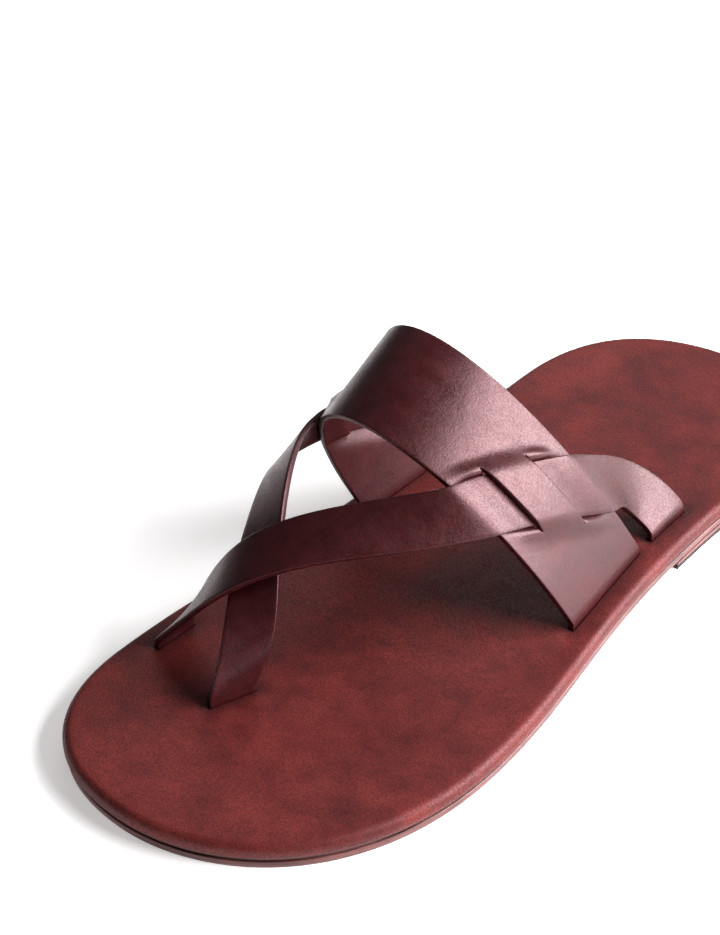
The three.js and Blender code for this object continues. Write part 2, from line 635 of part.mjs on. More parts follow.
// ---- fasteners ----------------------------------------------------------------------------------
// A lathe profile closed on the axis, its head downwards at z = 0 and its point upwards.
function pinGeometry(headRadius, headThickness, shankRadius, length, segments) {
  const profile = [
    [0, 0],
    [headRadius, 0],
    [headRadius, headThickness],
    [shankRadius, headThickness],
    [shankRadius, length - 2 * shankRadius],
    [0, length],
  ].map(([r, z]) => new THREE.Vector2(r, z));
  return new THREE.LatheGeometry(profile, segments).rotateX(Math.PI / 2);
}

function tackSpots() {
  const spots = [];
  const add = (slot, across) => spots.push(slotPoint(slot, across, TACK_ALONG_TAIL, FLANGE_BOTTOM));
  for (const slot of [SLOTS.bandLateral, SLOTS.bandMedial]) {
    add(slot, 0.25);
    add(slot, 0.75);
  }
  for (const slot of [SLOTS.rearLateral, SLOTS.rearMedial, SLOTS.toeMedial, SLOTS.toeLateral]) {
    add(slot, 0.5);
  }
  return spots;
}

const TACK_LENGTH = BOARD_TOP - FLANGE_BOTTOM - TACK_TIP_DEPTH;

function tackGeometry(spot) {
  return pinGeometry(TACK_HEAD_RADIUS, TACK_HEAD_THICKNESS, TACK_SHANK_RADIUS, TACK_LENGTH, PIN_SIDES)
    .translate(spot.x, spot.y, spot.z);
}

// The hole for a pin is wider by a clearance and open below its head.
function pinHole(spot, headRadius, headThickness, shankRadius, length, clearance) {
  return solidFrom(pinGeometry(
    headRadius + clearance,
    headThickness + clearance + HOLE_RUN_OUT,
    shankRadius + clearance,
    length + clearance + HOLE_RUN_OUT,
    PIN_SIDES,
  ).translate(spot.x, spot.y, spot.z - HOLE_RUN_OUT));
}

function tackHoles() {
  return tackSpots().map((spot) => (
    pinHole(spot, TACK_HEAD_RADIUS, TACK_HEAD_THICKNESS, TACK_SHANK_RADIUS, TACK_LENGTH, TACK_FIT)
  ));
}

// Five nails hold the heel's two layers to the outsole: two pairs and one at the back.
const NAIL_BACK_Y = HEEL_Y - NAIL_FROM_BACK;
const NAIL_FRONT_Y = HEEL_BREAST_Y + NAIL_FROM_BREAST;
const NAIL_SPOTS = [
  vec(-NAIL_SPREAD / 2, NAIL_FRONT_Y, NAIL_RECESS),
  vec(NAIL_SPREAD / 2, NAIL_FRONT_Y, NAIL_RECESS),
  vec(-NAIL_SPREAD / 2, (NAIL_FRONT_Y + 2 * NAIL_BACK_Y) / 3, NAIL_RECESS),
  vec(NAIL_SPREAD / 2, (NAIL_FRONT_Y + 2 * NAIL_BACK_Y) / 3, NAIL_RECESS),
  vec(HEEL_TIP_X, NAIL_BACK_Y, NAIL_RECESS),
];
const NAIL_LENGTH = HEEL_RISE + OUTSOLE_THICKNESS - NAIL_RECESS - NAIL_TIP_DEPTH;

function nailGeometry(spot) {
  return pinGeometry(NAIL_HEAD_RADIUS, NAIL_HEAD_THICKNESS, NAIL_SHANK_RADIUS, NAIL_LENGTH, PIN_SIDES)
    .translate(spot.x, spot.y, spot.z);
}

function nailHoles() {
  return NAIL_SPOTS.map((spot) => (
    pinHole(spot, NAIL_HEAD_RADIUS, NAIL_HEAD_THICKNESS, NAIL_SHANK_RADIUS, NAIL_LENGTH, FIT)
  ));
}

// ---- sole layers --------------------------------------------------------------------------------
// Slivers thinner than this, left where two cuts almost meet, are merged away.
const SLIVER = 0.01;

function cut(solid, cutters) {
  return cutters.reduce((body, cutter) => body.subtract(cutter), solid).simplify(SLIVER);
}

function slotCutter(slot, bottom, top) {
  const along = slot.back.clone().sub(slot.front);
  const middle = slot.front.clone().lerp(slot.back, 0.5);
  const width = STRAP_THICKNESS + 2 * FIT;
  const box = new THREE.BoxGeometry(width, along.length() + 2 * FIT, top - bottom);
  box.rotateZ(-Math.atan2(along.x, along.y));
  box.translate(middle.x, middle.y, (top + bottom) / 2);
  return solidFrom(box);
}

// The pocket that a turned-under tail lies in, open to the slot above it.
function tailPocket(slot) {
  const along = slot.back.clone().sub(slot.front);
  const near = STRAP_THICKNESS / 2 + FIT;
  const depth = TAIL_LENGTH + FIT + near;
  const box = new THREE.BoxGeometry(depth, along.length() + 2 * FIT, 20);
  box.translate(slot.inward * (depth / 2 - near), 0, 0);
  box.rotateZ(-Math.atan2(along.x, along.y));
  const middle = slot.front.clone().lerp(slot.back, 0.5);
  box.translate(middle.x, middle.y, FLANGE_BOTTOM);
  return solidFrom(box);
}

const ALL_SLOTS = Object.values(SLOTS);
const slotCutters = () => ALL_SLOTS.map((slot) => slotCutter(slot, 0, FOOTBED_TOP + HEEL_RISE + 5));

function flatLayer(inset, bottom, thickness, options) {
  return ringBody([{ inset, height: bottom }, { inset, height: bottom + thickness }], options);
}

function outsole() {
  const body = solidFrom(flatLayer(OUTSOLE_INSET, 0, OUTSOLE_THICKNESS));
  return geometryOf(cut(body, nailHoles()));
}

function midsole() {
  return flatLayer(MIDSOLE_INSET, MIDSOLE_BOTTOM, MIDSOLE_THICKNESS);
}

function bottomFiller() {
  const body = solidFrom(flatLayer(TURN_UNDER + FIT, FLANGE_BOTTOM, COVER_THICKNESS));
  return geometryOf(cut(body, ALL_SLOTS.map(tailPocket)));
}

function insoleBoard() {
  const inset = COVER_THICKNESS + LAYER_GAP;
  const body = solidFrom(flatLayer(inset, BOARD_BOTTOM, BOARD_THICKNESS));
  return geometryOf(cut(body, [...slotCutters(), ...tackHoles()]));
}

function cushion() {
  const inset = COVER_THICKNESS + LAYER_GAP;
  const softEdge = RIM_RADIUS - COVER_THICKNESS;
  const body = solidFrom(ringBody([
    { inset, height: CUSHION_BOTTOM },
    { inset: inset + softEdge * 0.25, height: CUSHION_BOTTOM + CUSHION_THICKNESS * 0.5 },
    { inset: inset + softEdge, height: CUSHION_TOP },
  ]));
  return geometryOf(cut(body, slotCutters()));
}

// Wrapped leather: a rounded rim over the cushion and board, turned under and left open below.
function footbedCover() {
  const rim = (radius, inset, top) => [0, 1 / 3, 2 / 3, 1].map((t) => {
    const angle = (Math.PI / 2) * t;
    return {
      inset: inset + radius * (1 - Math.cos(angle)),
      height: top - radius + radius * Math.sin(angle),
    };
  });
  const outside = solidFrom(ringBody([
    { inset: 0.5, height: FLANGE_BOTTOM },
    { inset: 0, height: FLANGE_BOTTOM + 0.8 },
    ...rim(RIM_RADIUS, 0, FOOTBED_TOP),
  ]));
  const inside = solidFrom(ringBody([
    { inset: COVER_THICKNESS, height: FLANGE_TOP },
    ...rim(RIM_RADIUS - COVER_THICKNESS, COVER_THICKNESS, COVER_INSIDE),
  ]));
  const opening = solidFrom(flatLayer(TURN_UNDER, FLANGE_BOTTOM - 1, COVER_THICKNESS + 1.5));
  return geometryOf(cut(outside, [inside, opening, ...slotCutters()]));
}

function heelLayer(bottom, thickness) {
  const body = solidFrom(flatLayer(OUTSOLE_INSET, bottom, thickness, { level: true, fromY: HEEL_BREAST_Y }));
  return geometryOf(cut(body, nailHoles()));
}

// The tails are drilled for their tacks.
function drilled(sheet) {
  return geometryOf(cut(solidFrom(sheet), tackHoles()));
}

// ---- assembly -----------------------------------------------------------------------------------
const finish = (color, roughness, metalness = 0) => ({ color, roughness, metalness });
const FOOTBED_LEATHER = finish(0x6e2c26, 0.42);
const STRAP_LEATHER = finish(0x5a1f24, 0.38);
const SOLE_LEATHER = finish(0x3a1a1a, 0.55);
const BOARD_FIBRE = finish(0x9a7a55, 0.9);
const FOAM = finish(0xd9cfba, 0.95);
const CORK = finish(0xa87b4f, 0.95);
const RUBBER = finish(0x2a1718, 0.8);
const STEEL = finish(0x9a9a9c, 0.35, 1);

const slide = new THREE.Group();

function addPart(name, geometry, look) {
  const mesh = new THREE.Mesh(geometry, new THREE.MeshStandardMaterial(look));
  mesh.name = name;
  slide.add(mesh);
}

addPart("outsole", outsole(), SOLE_LEATHER);
addPart("midsole", midsole(), SOLE_LEATHER);
addPart("bottom_filler", bottomFiller(), CORK);
addPart("insole_board", insoleBoard(), BOARD_FIBRE);
addPart("cushion", cushion(), FOAM);
addPart("footbed_cover", footbedCover(), FOOTBED_LEATHER);
addPart("instep_band", drilled(bandSheet()), STRAP_LEATHER);
const medialStrap = strapGrid(-1, SLOTS.rearMedial, SLOTS.toeLateral, MEDIAL_REAR, MEDIAL_FRONT);
const lateralStrap = strapGrid(1, SLOTS.rearLateral, SLOTS.toeMedial, LATERAL_REAR, LATERAL_FRONT);
layOver(lateralStrap, medialStrap);
addPart("lateral_strap", strapGeometry(lateralStrap), STRAP_LEATHER);
addPart("medial_strap", strapGeometry(medialStrap), STRAP_LEATHER);
addPart("heel_lift", heelLayer(TOP_PIECE_THICKNESS + LAYER_GAP, HEEL_LIFT_THICKNESS), SOLE_LEATHER);
addPart("heel_top_piece", heelLayer(0, TOP_PIECE_THICKNESS), RUBBER);
tackSpots().forEach((spot, i) => addPart(`tail_tack_${i + 1}`, tackGeometry(spot), STEEL));
NAIL_SPOTS.forEach((spot, i) => addPart(`heel_nail_${i + 1}`, nailGeometry(spot), STEEL));

export default slide;
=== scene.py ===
import math

import bpy
import numpy as np
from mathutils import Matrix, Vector


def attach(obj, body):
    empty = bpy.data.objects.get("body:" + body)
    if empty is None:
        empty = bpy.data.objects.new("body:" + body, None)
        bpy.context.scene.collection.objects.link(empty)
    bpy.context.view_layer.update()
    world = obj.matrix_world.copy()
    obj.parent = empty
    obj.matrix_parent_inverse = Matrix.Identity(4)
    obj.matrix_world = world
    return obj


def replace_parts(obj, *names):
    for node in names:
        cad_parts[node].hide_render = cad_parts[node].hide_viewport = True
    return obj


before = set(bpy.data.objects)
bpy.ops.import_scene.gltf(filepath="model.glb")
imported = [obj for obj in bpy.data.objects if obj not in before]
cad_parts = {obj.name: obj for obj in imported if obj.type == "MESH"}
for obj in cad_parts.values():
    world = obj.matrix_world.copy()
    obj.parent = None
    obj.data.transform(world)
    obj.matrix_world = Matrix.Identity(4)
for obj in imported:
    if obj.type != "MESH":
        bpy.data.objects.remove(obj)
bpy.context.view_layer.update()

# The looks of a flat leather toe-loop slide for the left foot. The shapes are worked out in
# millimetres in the CAD part's frame and turned into metres as each mesh is made.
MM = 0.001

# ---- sizes, as in the CAD part ---------------------------------------------------------------
SOLE_LENGTH = 285
BALL_WIDTH = 110.8
HEEL_WIDTH = 91.1
TOE_TIP_X = -9.9
HEEL_TIP_X = 5.1
BALL_MEDIAL_TO_TOE = 46
BALL_LATERAL_TO_TOE = 79
HEEL_MEDIAL_TO_BACK = 55.2
HEEL_LATERAL_TO_BACK = 81.2
# How full each stretch of the outline is: its two curve handles, as shares of the stretch.
TOE_LATERAL_FULLNESS = (0.42, 0.72)
WAIST_LATERAL_FULLNESS = (0.335, 0.528)
HEEL_LATERAL_FULLNESS = (0.34, 1.27)
HEEL_MEDIAL_FULLNESS = (0.166, 0.96)
WAIST_MEDIAL_FULLNESS = (0.718, 0.278)
TOE_MEDIAL_FULLNESS = (0.802, 0.473)
OUTSOLE_THICKNESS = 2.2
MIDSOLE_THICKNESS = 1.0
COVER_THICKNESS = 0.9
BOARD_THICKNESS = 1.3
CUSHION_THICKNESS = 0.95
LAYER_GAP = 0.25
OUTSOLE_INSET = 0.8
MIDSOLE_INSET = 1.2
RIM_RADIUS = 2.6
TURN_UNDER = 6.4
HEEL_LIFT_THICKNESS = 1.3
TOP_PIECE_THICKNESS = 1.2
HEEL_RISE = HEEL_LIFT_THICKNESS + TOP_PIECE_THICKNESS + 2 * LAYER_GAP
HEEL_LENGTH = 98
WAIST_LENGTH = 104
STRAP_THICKNESS = 1.8
TAIL_THICKNESS = 0.9
STRAP_WIDTH = 16.2
REAR_END_WIDTH = 18.8
TOE_END_WIDTH = 14.4
TAIL_LENGTH = 13
FIT = 0.3
SLOT_SETBACK = 8.7
SPRING_ABOVE_FOOTBED = 1.6
BAND_FOOT_LATERAL = (-8.9, 31.4)
BAND_FOOT_MEDIAL = (-5.6, 29.5)
BAND_FRONT_HEIGHT = 57.3
BAND_REAR_HEIGHT = 68.9
BAND_FRONT_LEAN = 25.6
BAND_REAR_LEAN = 30.4
BAND_MEDIAL_TILT = 0.31
SLIT_FRONT = 0.28
SLIT_REAR = 0.65
WEAVE_REAR_U = 0.1235
WEAVE_FRONT_U = 0.2475
REAR_SLOT_Y = 48
TOE_SLOT_MEDIAL_Y = -83
TOE_SLOT_LATERAL = (-15.9, -91.8)
TOE_SLOT_LATERAL_TURN = -0.36

MIDSOLE_BOTTOM = OUTSOLE_THICKNESS + LAYER_GAP
FLANGE_BOTTOM = MIDSOLE_BOTTOM + MIDSOLE_THICKNESS + LAYER_GAP
FLANGE_TOP = FLANGE_BOTTOM + COVER_THICKNESS
BOARD_TOP = FLANGE_TOP + LAYER_GAP + BOARD_THICKNESS
CUSHION_BOTTOM = BOARD_TOP + LAYER_GAP
CUSHION_TOP = CUSHION_BOTTOM + CUSHION_THICKNESS
COVER_INSIDE = CUSHION_TOP + LAYER_GAP
FOOTBED_TOP = COVER_INSIDE + COVER_THICKNESS
BAND_SPRING_LEVEL = FOOTBED_TOP + SPRING_ABOVE_FOOTBED
HEEL_BREAST_Y = SOLE_LENGTH / 2 - HEEL_LENGTH

# ---- detail that only the visual pieces have ---------------------------------------------------
SIDE_STEPS = 240
TIP_CLEARANCE = 0.002
CAP_STEPS = 84
SLOT_GAP = 0.25
SLOT_DIP = 0.5
SLOT_DIP_REACH = 3.0
# How far the painted shade round each slot reaches.
SLOT_SHADE_REACH = 2.2
BRIDGE_RISE = 2.65
BRIDGE_CROWN = 0.25
BRIDGE_RAMP = 9.0
BRIDGE_RAMP_INSIDE = 2.0
FLAP_DIP = 1.1
FLAP_REACH = 6.5
FLAP_CLOSING = 3.5
SLIT_OVERRUN = 2.3
CUT_WIDTH = 0.4
LIP_RISE = 0.75
LIP_FROM_STRAP = 1.6
LIP_FROM_SLIT = 4.6
LIP_REACH = (1.7, 3.2)
EDGE_ROUND = 0.28
EDGE_ANGLE = 55
FOOTBED_SHARP_ANGLE = 42
ARCH_RAISE = 0.68
STRAP_STEP = 1.25
STRAP_COLUMNS = 13


# ---- outline and sole ----------------------------------------------------------------------------
def bezier(p0, p1, p2, p3, count=80):
    t = np.linspace(0, 1, count)[:, None]
    s = 1 - t
    ends = s**3 * np.array(p0) + t**3 * np.array(p3)
    return ends + 3 * s * s * t * np.array(p1) + 3 * s * t * t * np.array(p2)


def joined(curves):
    return np.concatenate([curves[0]] + [c[1:] for c in curves[1:]])


def outline_chains():
    """The sole's two sides: the lateral one from toe to heel, and the medial one back to the toe."""
    toe, heel = -SOLE_LENGTH / 2, SOLE_LENGTH / 2
    ball, back = BALL_WIDTH / 2, HEEL_WIDTH / 2
    tx, hx = TOE_TIP_X, HEEL_TIP_X

    bl, hl = toe + BALL_LATERAL_TO_TOE, heel - HEEL_LATERAL_TO_BACK
    (t0, t1), (w0, w1), (h0, h1) = TOE_LATERAL_FULLNESS, WAIST_LATERAL_FULLNESS, HEEL_LATERAL_FULLNESS
    lateral = [
        bezier((tx, toe), (tx + t0 * (ball - tx), toe), (ball, bl - t1 * BALL_LATERAL_TO_TOE), (ball, bl)),
        bezier((ball, bl), (ball, bl + w0 * (hl - bl)), (back, hl - w1 * (hl - bl)), (back, hl)),
        bezier((back, hl), (back, hl + h0 * HEEL_LATERAL_TO_BACK), (hx + h1 * (back - hx), heel), (hx, heel)),
    ]

    bm, hm = toe + BALL_MEDIAL_TO_TOE, heel - HEEL_MEDIAL_TO_BACK
    (h0, h1), (w0, w1), (t0, t1) = HEEL_MEDIAL_FULLNESS, WAIST_MEDIAL_FULLNESS, TOE_MEDIAL_FULLNESS
    medial = [
        bezier((hx, heel), (hx - h0 * (back + hx), heel), (-back, heel - (1 - h1) * HEEL_MEDIAL_TO_BACK),
               (-back, hm)),
        bezier((-back, hm), (-back, hm - w0 * (hm - bm)), (-ball, bm + w1 * (hm - bm)), (-ball, bm)),
        bezier((-ball, bm), (-ball, bm - t0 * BALL_MEDIAL_TO_TOE), (tx - t1 * (ball + tx), toe), (tx, toe)),
    ]
    return joined(lateral), joined(medial)


LATERAL, MEDIAL = outline_chains()


def inset_sides(inset):
    """Both sides moved inwards, as arrays of x, y running from toe to heel."""
    loop = np.concatenate([LATERAL[:-1], MEDIAL[:-1]])
    along = np.roll(loop, -1, 0) - np.roll(loop, 1, 0)
    along /= np.linalg.norm(along, axis=1)[:, None]
    moved = loop + inset * np.stack([-along[:, 1], along[:, 0]], 1)
    n = len(LATERAL) - 1
    return moved[: n + 1], np.concatenate([moved[n:], moved[:1]])[::-1]


def rise(y):
    """How far the sole has risen at y, on its way up through the waist to the heel."""
    t = np.clip((y - (HEEL_BREAST_Y - WAIST_LENGTH)) / WAIST_LENGTH, 0, 1)
    return HEEL_RISE * t * t * (3 - 2 * t)


def ring(inset, height):
    """One closed ring round the sole: up the lateral side to the heel and back down the medial side."""
    lateral, medial = inset_sides(inset)
    front, back = lateral[0, 1] + TIP_CLEARANCE, lateral[-1, 1] - TIP_CLEARANCE
    y = front + (back - front) * (1 - np.cos(np.pi * np.arange(SIDE_STEPS + 1) / SIDE_STEPS)) / 2
    out = np.interp(y, lateral[:, 1], lateral[:, 0])
    ins = np.interp(y, medial[:, 1], medial[:, 0])
    out[[0, -1]] = ins[[0, -1]] = (out[[0, -1]] + ins[[0, -1]]) / 2
    up, down = (np.stack([x, y, height + rise(y)], 1) for x in (out, ins))
    return np.concatenate([up, down[1:-1][::-1]])


def dome(rings, start):
    """Side walls through the rings and a cap of strips over the last one: points and faces."""
    size = 2 * SIDE_STEPS
    points = [p for r in rings for p in r]
    faces = []
    for r in range(len(rings) - 1):
        for k in range(size):
            a, b = start + r * size + k, start + r * size + (k + 1) % size
            faces.append((a, b, b + size, a + size))
    last = rings[-1]
    base = start + (len(rings) - 1) * size
    inner = start + len(points)
    for k in range(1, SIDE_STEPS):
        a, b = last[k], last[size - k]
        points.extend(a + (b - a) * (j / CAP_STEPS) for j in range(1, CAP_STEPS))

    def at(k, j):
        if k in (0, SIDE_STEPS) or j == 0:
            return base + k
        if j == CAP_STEPS:
            return base + size - k
        return inner + (k - 1) * (CAP_STEPS - 1) + j - 1

    for k in range(SIDE_STEPS):
        for j in range(CAP_STEPS):
            quad = [at(k, j), at(k + 1, j), at(k + 1, j + 1), at(k, j + 1)]
            face = [v for i, v in enumerate(quad) if v != quad[i - 1]]
            if len(face) > 2:
                faces.append(tuple(face))
    return points, faces


def new_piece(name, points, faces, material_faces=None):
    """A mesh object from points in millimetres, smooth shaded."""
    mesh = bpy.data.meshes.new(name)
    mesh.from_pydata([tuple(float(c) * MM for c in p) for p in points], [], faces)
    if material_faces is not None:
        mesh.polygons.foreach_set("material_index", material_faces)
    mesh.update()
    piece = bpy.data.objects.new(name, mesh)
    bpy.context.scene.collection.objects.link(piece)
    mesh.polygons.foreach_set("use_smooth", [True] * len(mesh.polygons))
    return piece


def applied(piece):
    """Turns the piece's modifiers into its mesh."""
    graph = bpy.context.evaluated_depsgraph_get()
    mesh = bpy.data.meshes.new_from_object(piece.evaluated_get(graph))
    piece.modifiers.clear()
    piece.data = mesh


def slab(name, rings):
    """A closed layer of the sole: its rings from the bottom up, and a cap over the last and the first."""
    points, faces = dome(rings, 0)
    under, under_faces = dome([rings[0]], 0)
    size = 2 * SIDE_STEPS
    shift = len(points) - size
    faces += [tuple(v if v < size else v + shift for v in reversed(f)) for f in under_faces]
    return new_piece(name, points + under[size:], faces)


# ---- slots -----------------------------------------------------------------------------------------
def edge_slot(side, y0, y1):
    """A slot that runs along one edge of the sole."""
    lateral, medial = inset_sides(SLOT_SETBACK)
    chain = lateral if side > 0 else medial
    front, back = (np.array([np.interp(y, chain[:, 1], chain[:, 0]), y]) for y in (y0, y1))
    return {"front": front, "back": back, "inward": -side}


def centred_slot(center, length, turn, inward):
    """A slot round its own middle, turned from the sole's length."""
    half = np.array([-math.sin(turn), math.cos(turn)]) * length / 2
    return {"front": np.array(center) - half, "back": np.array(center) + half, "inward": inward}


def around(y, width):
    return y - width / 2, y + width / 2


SLOTS = {
    "band_lateral": edge_slot(1, *BAND_FOOT_LATERAL),
    "band_medial": edge_slot(-1, *BAND_FOOT_MEDIAL),
    "rear_lateral": edge_slot(1, *around(REAR_SLOT_Y, REAR_END_WIDTH)),
    "rear_medial": edge_slot(-1, *around(REAR_SLOT_Y, REAR_END_WIDTH)),
    "toe_medial": edge_slot(-1, *around(TOE_SLOT_MEDIAL_Y, TOE_END_WIDTH)),
    "toe_lateral": centred_slot(TOE_SLOT_LATERAL, TOE_END_WIDTH, TOE_SLOT_LATERAL_TURN, 1),
}
TAIL_LEVEL = FLANGE_BOTTOM + TAIL_THICKNESS / 2
TAIL_BEND = 1.0
HALF_BEND = 1 - math.sqrt(0.5)
BEND_SWELL = 1.1
SLOT_THINNING = 0.9
BELOW_FOOTBED = 0.4
# The stations from a tail's free end to just above the footbed: distance out, height, thickness.
TAIL_STATIONS = [
    (TAIL_LENGTH, TAIL_LEVEL, TAIL_THICKNESS),
    (TAIL_LENGTH / 2, TAIL_LEVEL, TAIL_THICKNESS),
    (TAIL_BEND, TAIL_LEVEL, TAIL_THICKNESS),
    (HALF_BEND, TAIL_LEVEL + HALF_BEND, TAIL_THICKNESS),
    (0, TAIL_LEVEL + TAIL_BEND, TAIL_THICKNESS * BEND_SWELL),
    (0, FOOTBED_TOP - BELOW_FOOTBED, STRAP_THICKNESS * SLOT_THINNING),
    (0, BAND_SPRING_LEVEL, STRAP_THICKNESS),
]


def slot_point(slot, across, out, height):
    """A point over a slot: a share of its length, a distance towards the tail, and a height."""
    along = slot["back"] - slot["front"]
    along /= np.linalg.norm(along)
    tailwards = np.array([along[1], -along[0]]) * slot["inward"] * np.sign(along[1])
    p = slot["front"] + (slot["back"] - slot["front"]) * across + tailwards * out
    return np.array([p[0], p[1], height + rise(p[1])])


def slot_distance(points):
    """The distance in plan from each point to the nearest slot."""
    best = np.full(len(points), np.inf)
    for slot in SLOTS.values():
        a, d = slot["front"], slot["back"] - slot["front"]
        t = np.clip(((points[:, :2] - a) @ d) / (d @ d), 0, 1)
        best = np.minimum(best, np.linalg.norm(points[:, :2] - a - t[:, None] * d, axis=1))
    return best


def slot_cutter(bottom, top):
    """One hidden mesh with a thin box for every slot, to cut them all at once."""
    points, faces = [], []
    for slot in SLOTS.values():
        along = slot["back"] - slot["front"]
        along /= np.linalg.norm(along)
        side = np.array([along[1], -along[0]]) * (STRAP_THICKNESS / 2 + SLOT_GAP)
        a, b = slot["front"] - along * FIT, slot["back"] + along * FIT
        n = len(points)
        for z in (bottom, top):
            points += [(*(a - side), z), (*(a + side), z), (*(b + side), z), (*(b - side), z)]
        faces += [tuple(n + i for i in f) for f in (
            (0, 3, 2, 1), (4, 5, 6, 7), (0, 1, 5, 4), (1, 2, 6, 5), (2, 3, 7, 6), (3, 0, 4, 7))]
    mesh = bpy.data.meshes.new("slot_cutter")
    mesh.from_pydata([tuple(float(c) * MM for c in p) for p in points], [], faces)
    cutter = bpy.data.objects.new("slot_cutter", mesh)
    bpy.context.scene.collection.objects.link(cutter)
    return cutter


def cut_slots(piece, bottom, top):
    """Cuts every slot through the piece, between two heights."""
    cutter = slot_cutter(bottom, top)
    cut = piece.modifiers.new("slots", "BOOLEAN")
    cut.operation = "DIFFERENCE"
    cut.object = cutter
    cut.solver = "MANIFOLD"
    applied(piece)
    bpy.data.objects.remove(cutter)


# ---- instep band ------------------------------------------------------------------------------------
def mix(a, b, t):
    return a + (b - a) * t


def band_point(u, v):
    """The band's middle surface: u runs over the foot from the lateral side, v from front to rear."""
    u, v = np.broadcast_arrays(np.asarray(u, float), np.asarray(v, float))
    arch = np.sin(np.pi * u)
    lat = [mix(SLOTS["band_lateral"]["front"][i], SLOTS["band_lateral"]["back"][i], v) for i in (0, 1)]
    med = [mix(SLOTS["band_medial"]["front"][i], SLOTS["band_medial"]["back"][i], v) for i in (0, 1)]
    height = mix(BAND_FRONT_HEIGHT, BAND_REAR_HEIGHT, v) * arch
    lean = mix(BAND_FRONT_LEAN, BAND_REAR_LEAN, v) * arch
    x = (lat[0] + med[0]) / 2 + (lat[0] - med[0]) / 2 * np.cos(np.pi * u) - BAND_MEDIAL_TILT * height
    foot = mix(lat[1], med[1], u)
    return np.stack([x, foot - lean, BAND_SPRING_LEVEL + rise(foot) + height], -1)


def unit(v):
    return v / np.linalg.norm(v, axis=-1, keepdims=True)


def band_normal(u, v):
    u, step = np.asarray(u, float), 0.01
    along_u = band_point(np.minimum(u + step, 1), v) - band_point(np.maximum(u - step, 0), v)
    along_v = band_point(u, v + step) - band_point(u, v - step)
    return unit(np.cross(along_v, along_u))


BAND_WIDTH = float(np.linalg.norm(band_point(0.2, 0) - band_point(0.2, 1)))
BAND_ARCH = band_point(np.linspace(0, 1, 61), 0.5)
BAND_LENGTH = float(np.linalg.norm(np.diff(BAND_ARCH, axis=0), axis=1).sum())
WEAVE_SLANT = math.atan2((WEAVE_FRONT_U - WEAVE_REAR_U) * BAND_LENGTH, BAND_WIDTH)
WEAVE_HALF = STRAP_WIDTH / 2 / math.cos(WEAVE_SLANT) / BAND_LENGTH
WEAVE_MIDDLE = (WEAVE_REAR_U + WEAVE_FRONT_U) / 2
SLIT_HALF = WEAVE_HALF + SLIT_OVERRUN / BAND_LENGTH
CUT_HALF = CUT_WIDTH / 2 / BAND_WIDTH


def weave_centre(v):
    """Where the middle of a woven strap crosses the band at v."""
    return mix(WEAVE_FRONT_U, WEAVE_REAR_U, v)


def smooth(t):
    """Goes gently from 0 to 1 as t does."""
    t = np.clip(t, 0, 1)
    return t * t * (3 - 2 * t)


def bump(distance, reach):
    """One at no distance, fading to nothing beyond the reach."""
    return np.exp(-((distance / reach) ** 2))


def sheet_faces(there, under):
    """The faces of a sheet and their kinds: 0 grain side, 1 flesh side, 2 cut edge.

    `there` says which cells exist, with an empty cell all round; `under` is the first flesh-side point.
    """
    rows, columns = there.shape[0] - 1, there.shape[1] - 1
    faces, kinds = [], []
    for r in range(rows - 1):
        for c in range(columns - 1):
            if not there[r + 1, c + 1]:
                continue
            a, b = r * columns + c, (r + 1) * columns + c
            d, e = b + 1, a + 1
            faces += [(a, b, d, e), (a + under, e + under, d + under, b + under)]
            kinds += [0, 1]
            beyond = ((r, c + 1), (r + 2, c + 1), (r + 1, c), (r + 1, c + 2))
            for (p, q), cell in zip(((e, a), (b, d), (a, b), (d, e)), beyond):
                if not there[cell]:
                    faces.append((p, p + under, q + under, q))
                    kinds.append(2)
    return faces, kinds


def rounded(piece):
    """Rounds the cut edges a little."""
    rounding = piece.modifiers.new("edges", "BEVEL")
    rounding.width = EDGE_ROUND * MM
    rounding.segments = 2
    rounding.limit_method = "ANGLE"
    rounding.angle_limit = math.radians(EDGE_ANGLE)
    rounding.use_clamp_overlap = True
    return piece


def leather(name, grid, base, thickness, outward, is_open=None):
    """A sheet of leather on a grid of middle points: grain side, flesh side and cut edges."""
    rows, columns = grid.shape[:2]
    normal = unit(np.cross(np.gradient(base, axis=0), np.gradient(base, axis=1)))
    if (normal * outward).sum() < 0:
        grid, normal, thickness = grid[::-1], -normal[::-1], thickness[::-1]
        is_open = None if is_open is None else is_open[::-1]
    half = thickness[:, None, None] / 2
    points = np.concatenate([(grid + normal * half).reshape(-1, 3), (grid - normal * half).reshape(-1, 3)])
    there = np.zeros((rows + 1, columns + 1), bool)
    there[1:-1, 1:-1] = True if is_open is None else ~is_open
    faces, kinds = sheet_faces(there, rows * columns)
    used = np.unique(np.concatenate([np.array(f) for f in faces]))
    number = np.full(len(points), -1)
    number[used] = np.arange(len(used))
    faces = [tuple(int(number[i]) for i in f) for f in faces]
    return rounded(new_piece(name, points[used], faces, kinds))


def stops(*spans):
    """Joined runs of evenly spaced values: each span is (start, end, count)."""
    return np.concatenate([np.linspace(a, b, n) for a, b, n in spans])


